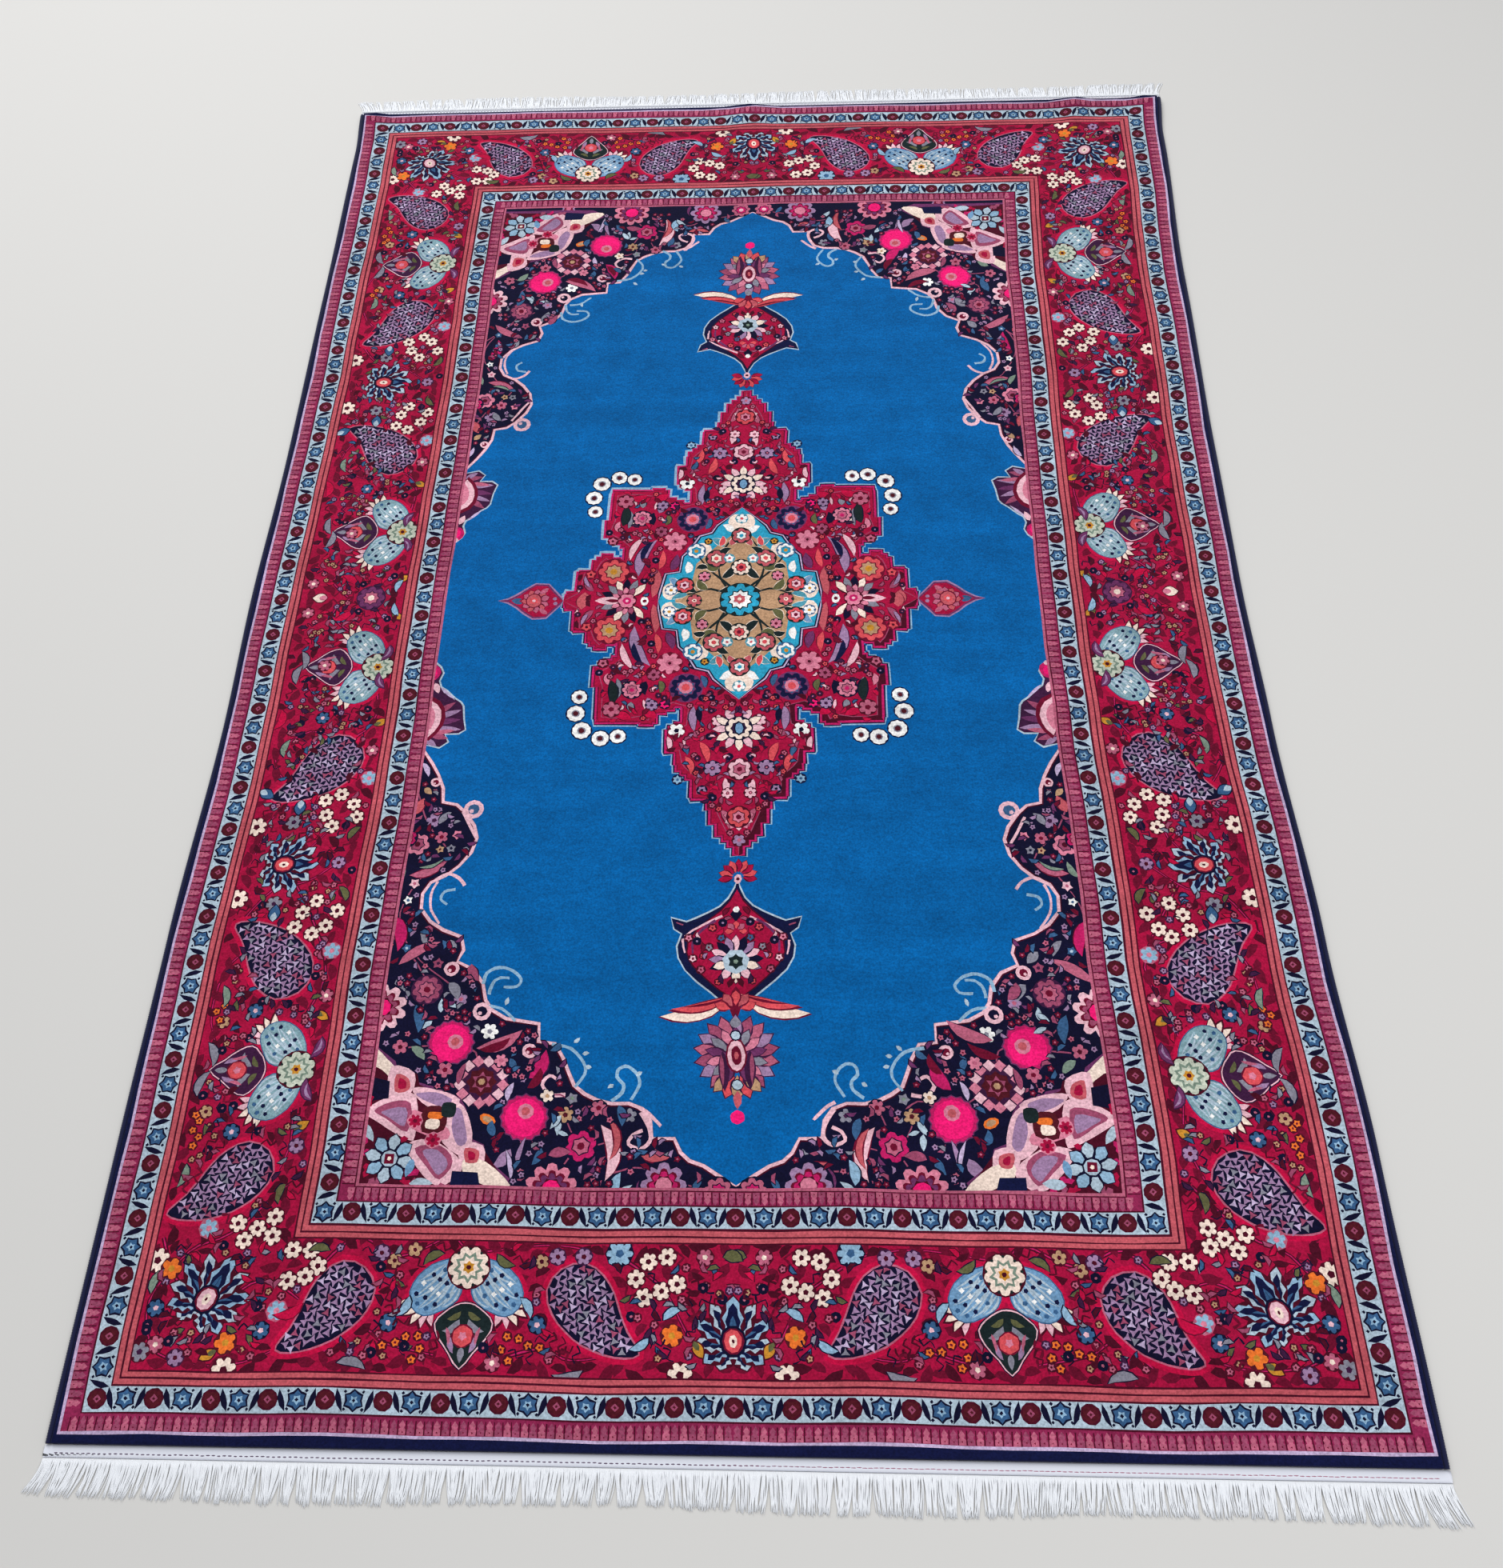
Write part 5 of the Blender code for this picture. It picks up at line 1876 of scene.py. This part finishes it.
# %% [markdown]
# ## The fringe
#
# The fringe is the cut ends of the cotton warps. Each is one thin strand that leaves the web,
# drops to the floor and ends where the scissors cut. One strand is modelled as a thin cone with
# a few rings, copied many times, and each copy is bent along its own path. Strands lean together
# in locks, and the locks lean a little one way or the other.

# %% One strand
STRANDS_PER_END = 1900
STRAND_RINGS = 4
STRAND_RADIUS = 0.72
fringe_yarn, _ = new_material("fringe_cotton", 0.88, 0.25, (0.87, 0.89, 0.93))


def strand_template():
    """A straight strand from 0 to 1 up Z, with rings to bend it at."""
    mesh = bmesh.new()
    bmesh.ops.create_cone(mesh, cap_ends=True, segments=4, radius1=1.0, radius2=0.6, depth=1.0)
    bmesh.ops.translate(mesh, vec=(0, 0, 0.5), verts=mesh.verts)
    long_edges = [e for e in mesh.edges if abs(e.verts[0].co.z - e.verts[1].co.z) > 0.5]
    bmesh.ops.subdivide_edges(mesh, edges=long_edges, cuts=STRAND_RINGS)
    data = bpy.data.meshes.new("strand_template")
    mesh.to_mesh(data)
    mesh.free()
    return data


print("strands in each fringe:", STRANDS_PER_END)

# %% The fringe, lock by lock
REACH = {"near": 37.0, "far": 34.5}
LOCK_STRANDS = (7, 20)
LOCK_LEAN = (-5.0, 4.0)
LOCK_REACH = (0.93, 1.0)
GATHER = 0.2  # how far a strand's tip is drawn to the middle of its lock
FLARE = 11.0  # how far the outermost strands lean out
DROP_SHARE = 0.55  # where along its length a strand has come down


def fringe_mesh(name, inner, way):
    """All strands of one end, each bent along its own path."""
    template = strand_template()
    dice = random.Random(f"fringe {name}")
    mesh = bmesh.new()
    for _ in range(STRANDS_PER_END):
        mesh.from_mesh(template)
    mesh.verts.ensure_lookup_table()
    each = len(template.vertices)
    bpy.data.meshes.remove(template)
    pitch = 2.0 * (HALF_WIDTH - 1.0) / STRANDS_PER_END
    lock_left, lean, lock_reach, middle = 0, 0.0, 1.0, 0.0
    root = inner + way * (GAP + WEB_WIDTH + 0.6)
    for index in range(STRANDS_PER_END):
        across = -HALF_WIDTH + 1.0 + (index + 0.5) * pitch
        if lock_left == 0:
            lock_left = dice.randint(*LOCK_STRANDS)
            middle = across + 0.5 * lock_left * pitch
            lean = dice.uniform(*LOCK_LEAN)
            lock_reach = dice.uniform(*LOCK_REACH)
        lock_left -= 1
        wave = 1.0 + 0.07 * math.sin(0.011 * across)
        flare = math.copysign(FLARE * (abs(across) / HALF_WIDTH) ** 6, across)
        reach = REACH[name] * lock_reach * dice.uniform(0.90, 1.0) * wave
        gather = GATHER * (middle - across)
        tip = across + gather + lean + flare + dice.uniform(-2.0, 2.0)
        bow = dice.uniform(-1.6, 1.6)
        high = dice.uniform(0.4, 1.0)
        for vert in mesh.verts[index * each:(index + 1) * each]:
            share = vert.co.z
            centre = across + (tip - across) * share**1.5 + bow * math.sin(math.pi * share)
            drop = 1.0 - smooth(share / DROP_SHARE)
            height = STRAND_RADIUS + high * 0.8 + drop * (1.4 - 0.3 * high)
            vert.co = Vector((centre + STRAND_RADIUS * vert.co.x, root + way * share * reach,
                              height + 0.8 * STRAND_RADIUS * vert.co.y))
    return mesh


STRIP_THICKNESS = 2.2
STRIP_SIDES = 8


def strip_mesh(inner, way):
    """The rows of knots at the strands' roots, as a low rounded strip."""
    def place(share, turn):
        across = -HALF_WIDTH + 2.0 * HALF_WIDTH * share
        angle = math.tau * turn
        wide, tall = 0.5 * STRIP_WIDTH, 0.5 * STRIP_THICKNESS
        swell = 1.0 - 0.10 * (round(share * END_STATIONS) % 2)
        middle = inner + way * (2.0 * GAP + WEB_WIDTH + wide)
        return Vector((across, middle + wide * math.cos(angle),
                       tall + tall * swell * math.sin(angle)))
    return sleeve(END_STATIONS, STRIP_SIDES, place)


for name, inner, way in RUG_ENDS:
    piece = finish_piece(f"fringe_{name}_strands", fringe_mesh(name, inner, way), fringe_yarn)
    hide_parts(f"fringe_{name}")
    piece = finish_piece(f"fringe_{name}_roots", strip_mesh(inner, way), fringe_yarn)

# %% [markdown]
# ## How the rug lies
#
# The rug lies flat on the floor.

# %% [markdown]
# ## Floor, light and camera
#
# A plain pale floor and soft light from large lamps show the colours without glare. The camera
# stands at the photograph's viewing angle, about a metre and a half up and close to the near end,
# and its lens gives the photograph's field of view.

# %% The floor
FLOOR_HALF = 9.0
floor_mesh = bmesh.new()
bmesh.ops.create_grid(floor_mesh, x_segments=1, y_segments=1, size=FLOOR_HALF)
floor_data = bpy.data.meshes.new("floor")
floor_mesh.to_mesh(floor_data)
floor_mesh.free()
floor = stand("floor", floor_data)
floor_material, _ = new_material("pale_floor", 0.7, 0.0, (0.66, 0.65, 0.63))
floor_data.materials.append(floor_material)
print("the floor is", 2.0 * FLOOR_HALF, "m wide")

# %% The lights
WINDOW_POWER = 112.0
ROOM_POWER = 70.0
SKY_LIGHT = 0.44


def area_light(name, at, size, power):
    """A large round lamp that looks at the rug's middle; power is in watts."""
    data = bpy.data.lights.new(name, "AREA")
    data.shape, data.size, data.energy = "DISK", size, power
    lamp = stand(name, data)
    lamp.location = at
    lamp.rotation_euler = (-Vector(at)).to_track_quat("-Z", "Y").to_euler()


area_light("window_light", (-1.6, 2.6, 3.4), 3.0, WINDOW_POWER)
area_light("room_light", (1.8, -1.6, 3.6), 3.0, ROOM_POWER)
world = bpy.data.worlds.new("soft_room")
world.use_nodes = True
dial(world.node_tree.nodes["Background"],
     {"Color": (0.95, 0.97, 1.0, 1.0), "Strength": SKY_LIGHT})
bpy.context.scene.world = world
bpy.context.scene.view_settings.view_transform = "Standard"
print("lamps:", len(bpy.data.lights))

# %% The camera
CAMERA_PLACE = (0.08518, -1.21501, 1.55742)
CAMERA_TURN = (30.7524, 2.2267, 0.9547)
LENS = 35.137
camera_data = bpy.data.cameras.new("camera")
camera_data.sensor_fit = "HORIZONTAL"
camera_data.sensor_width = 36.0
camera_data.lens = LENS
camera = stand("camera", camera_data)
camera.location = CAMERA_PLACE
camera.rotation_euler = tuple(math.radians(angle) for angle in CAMERA_TURN)
bpy.context.scene.camera = camera
print("the camera is", round(camera.location.z, 2), "m above the floor")
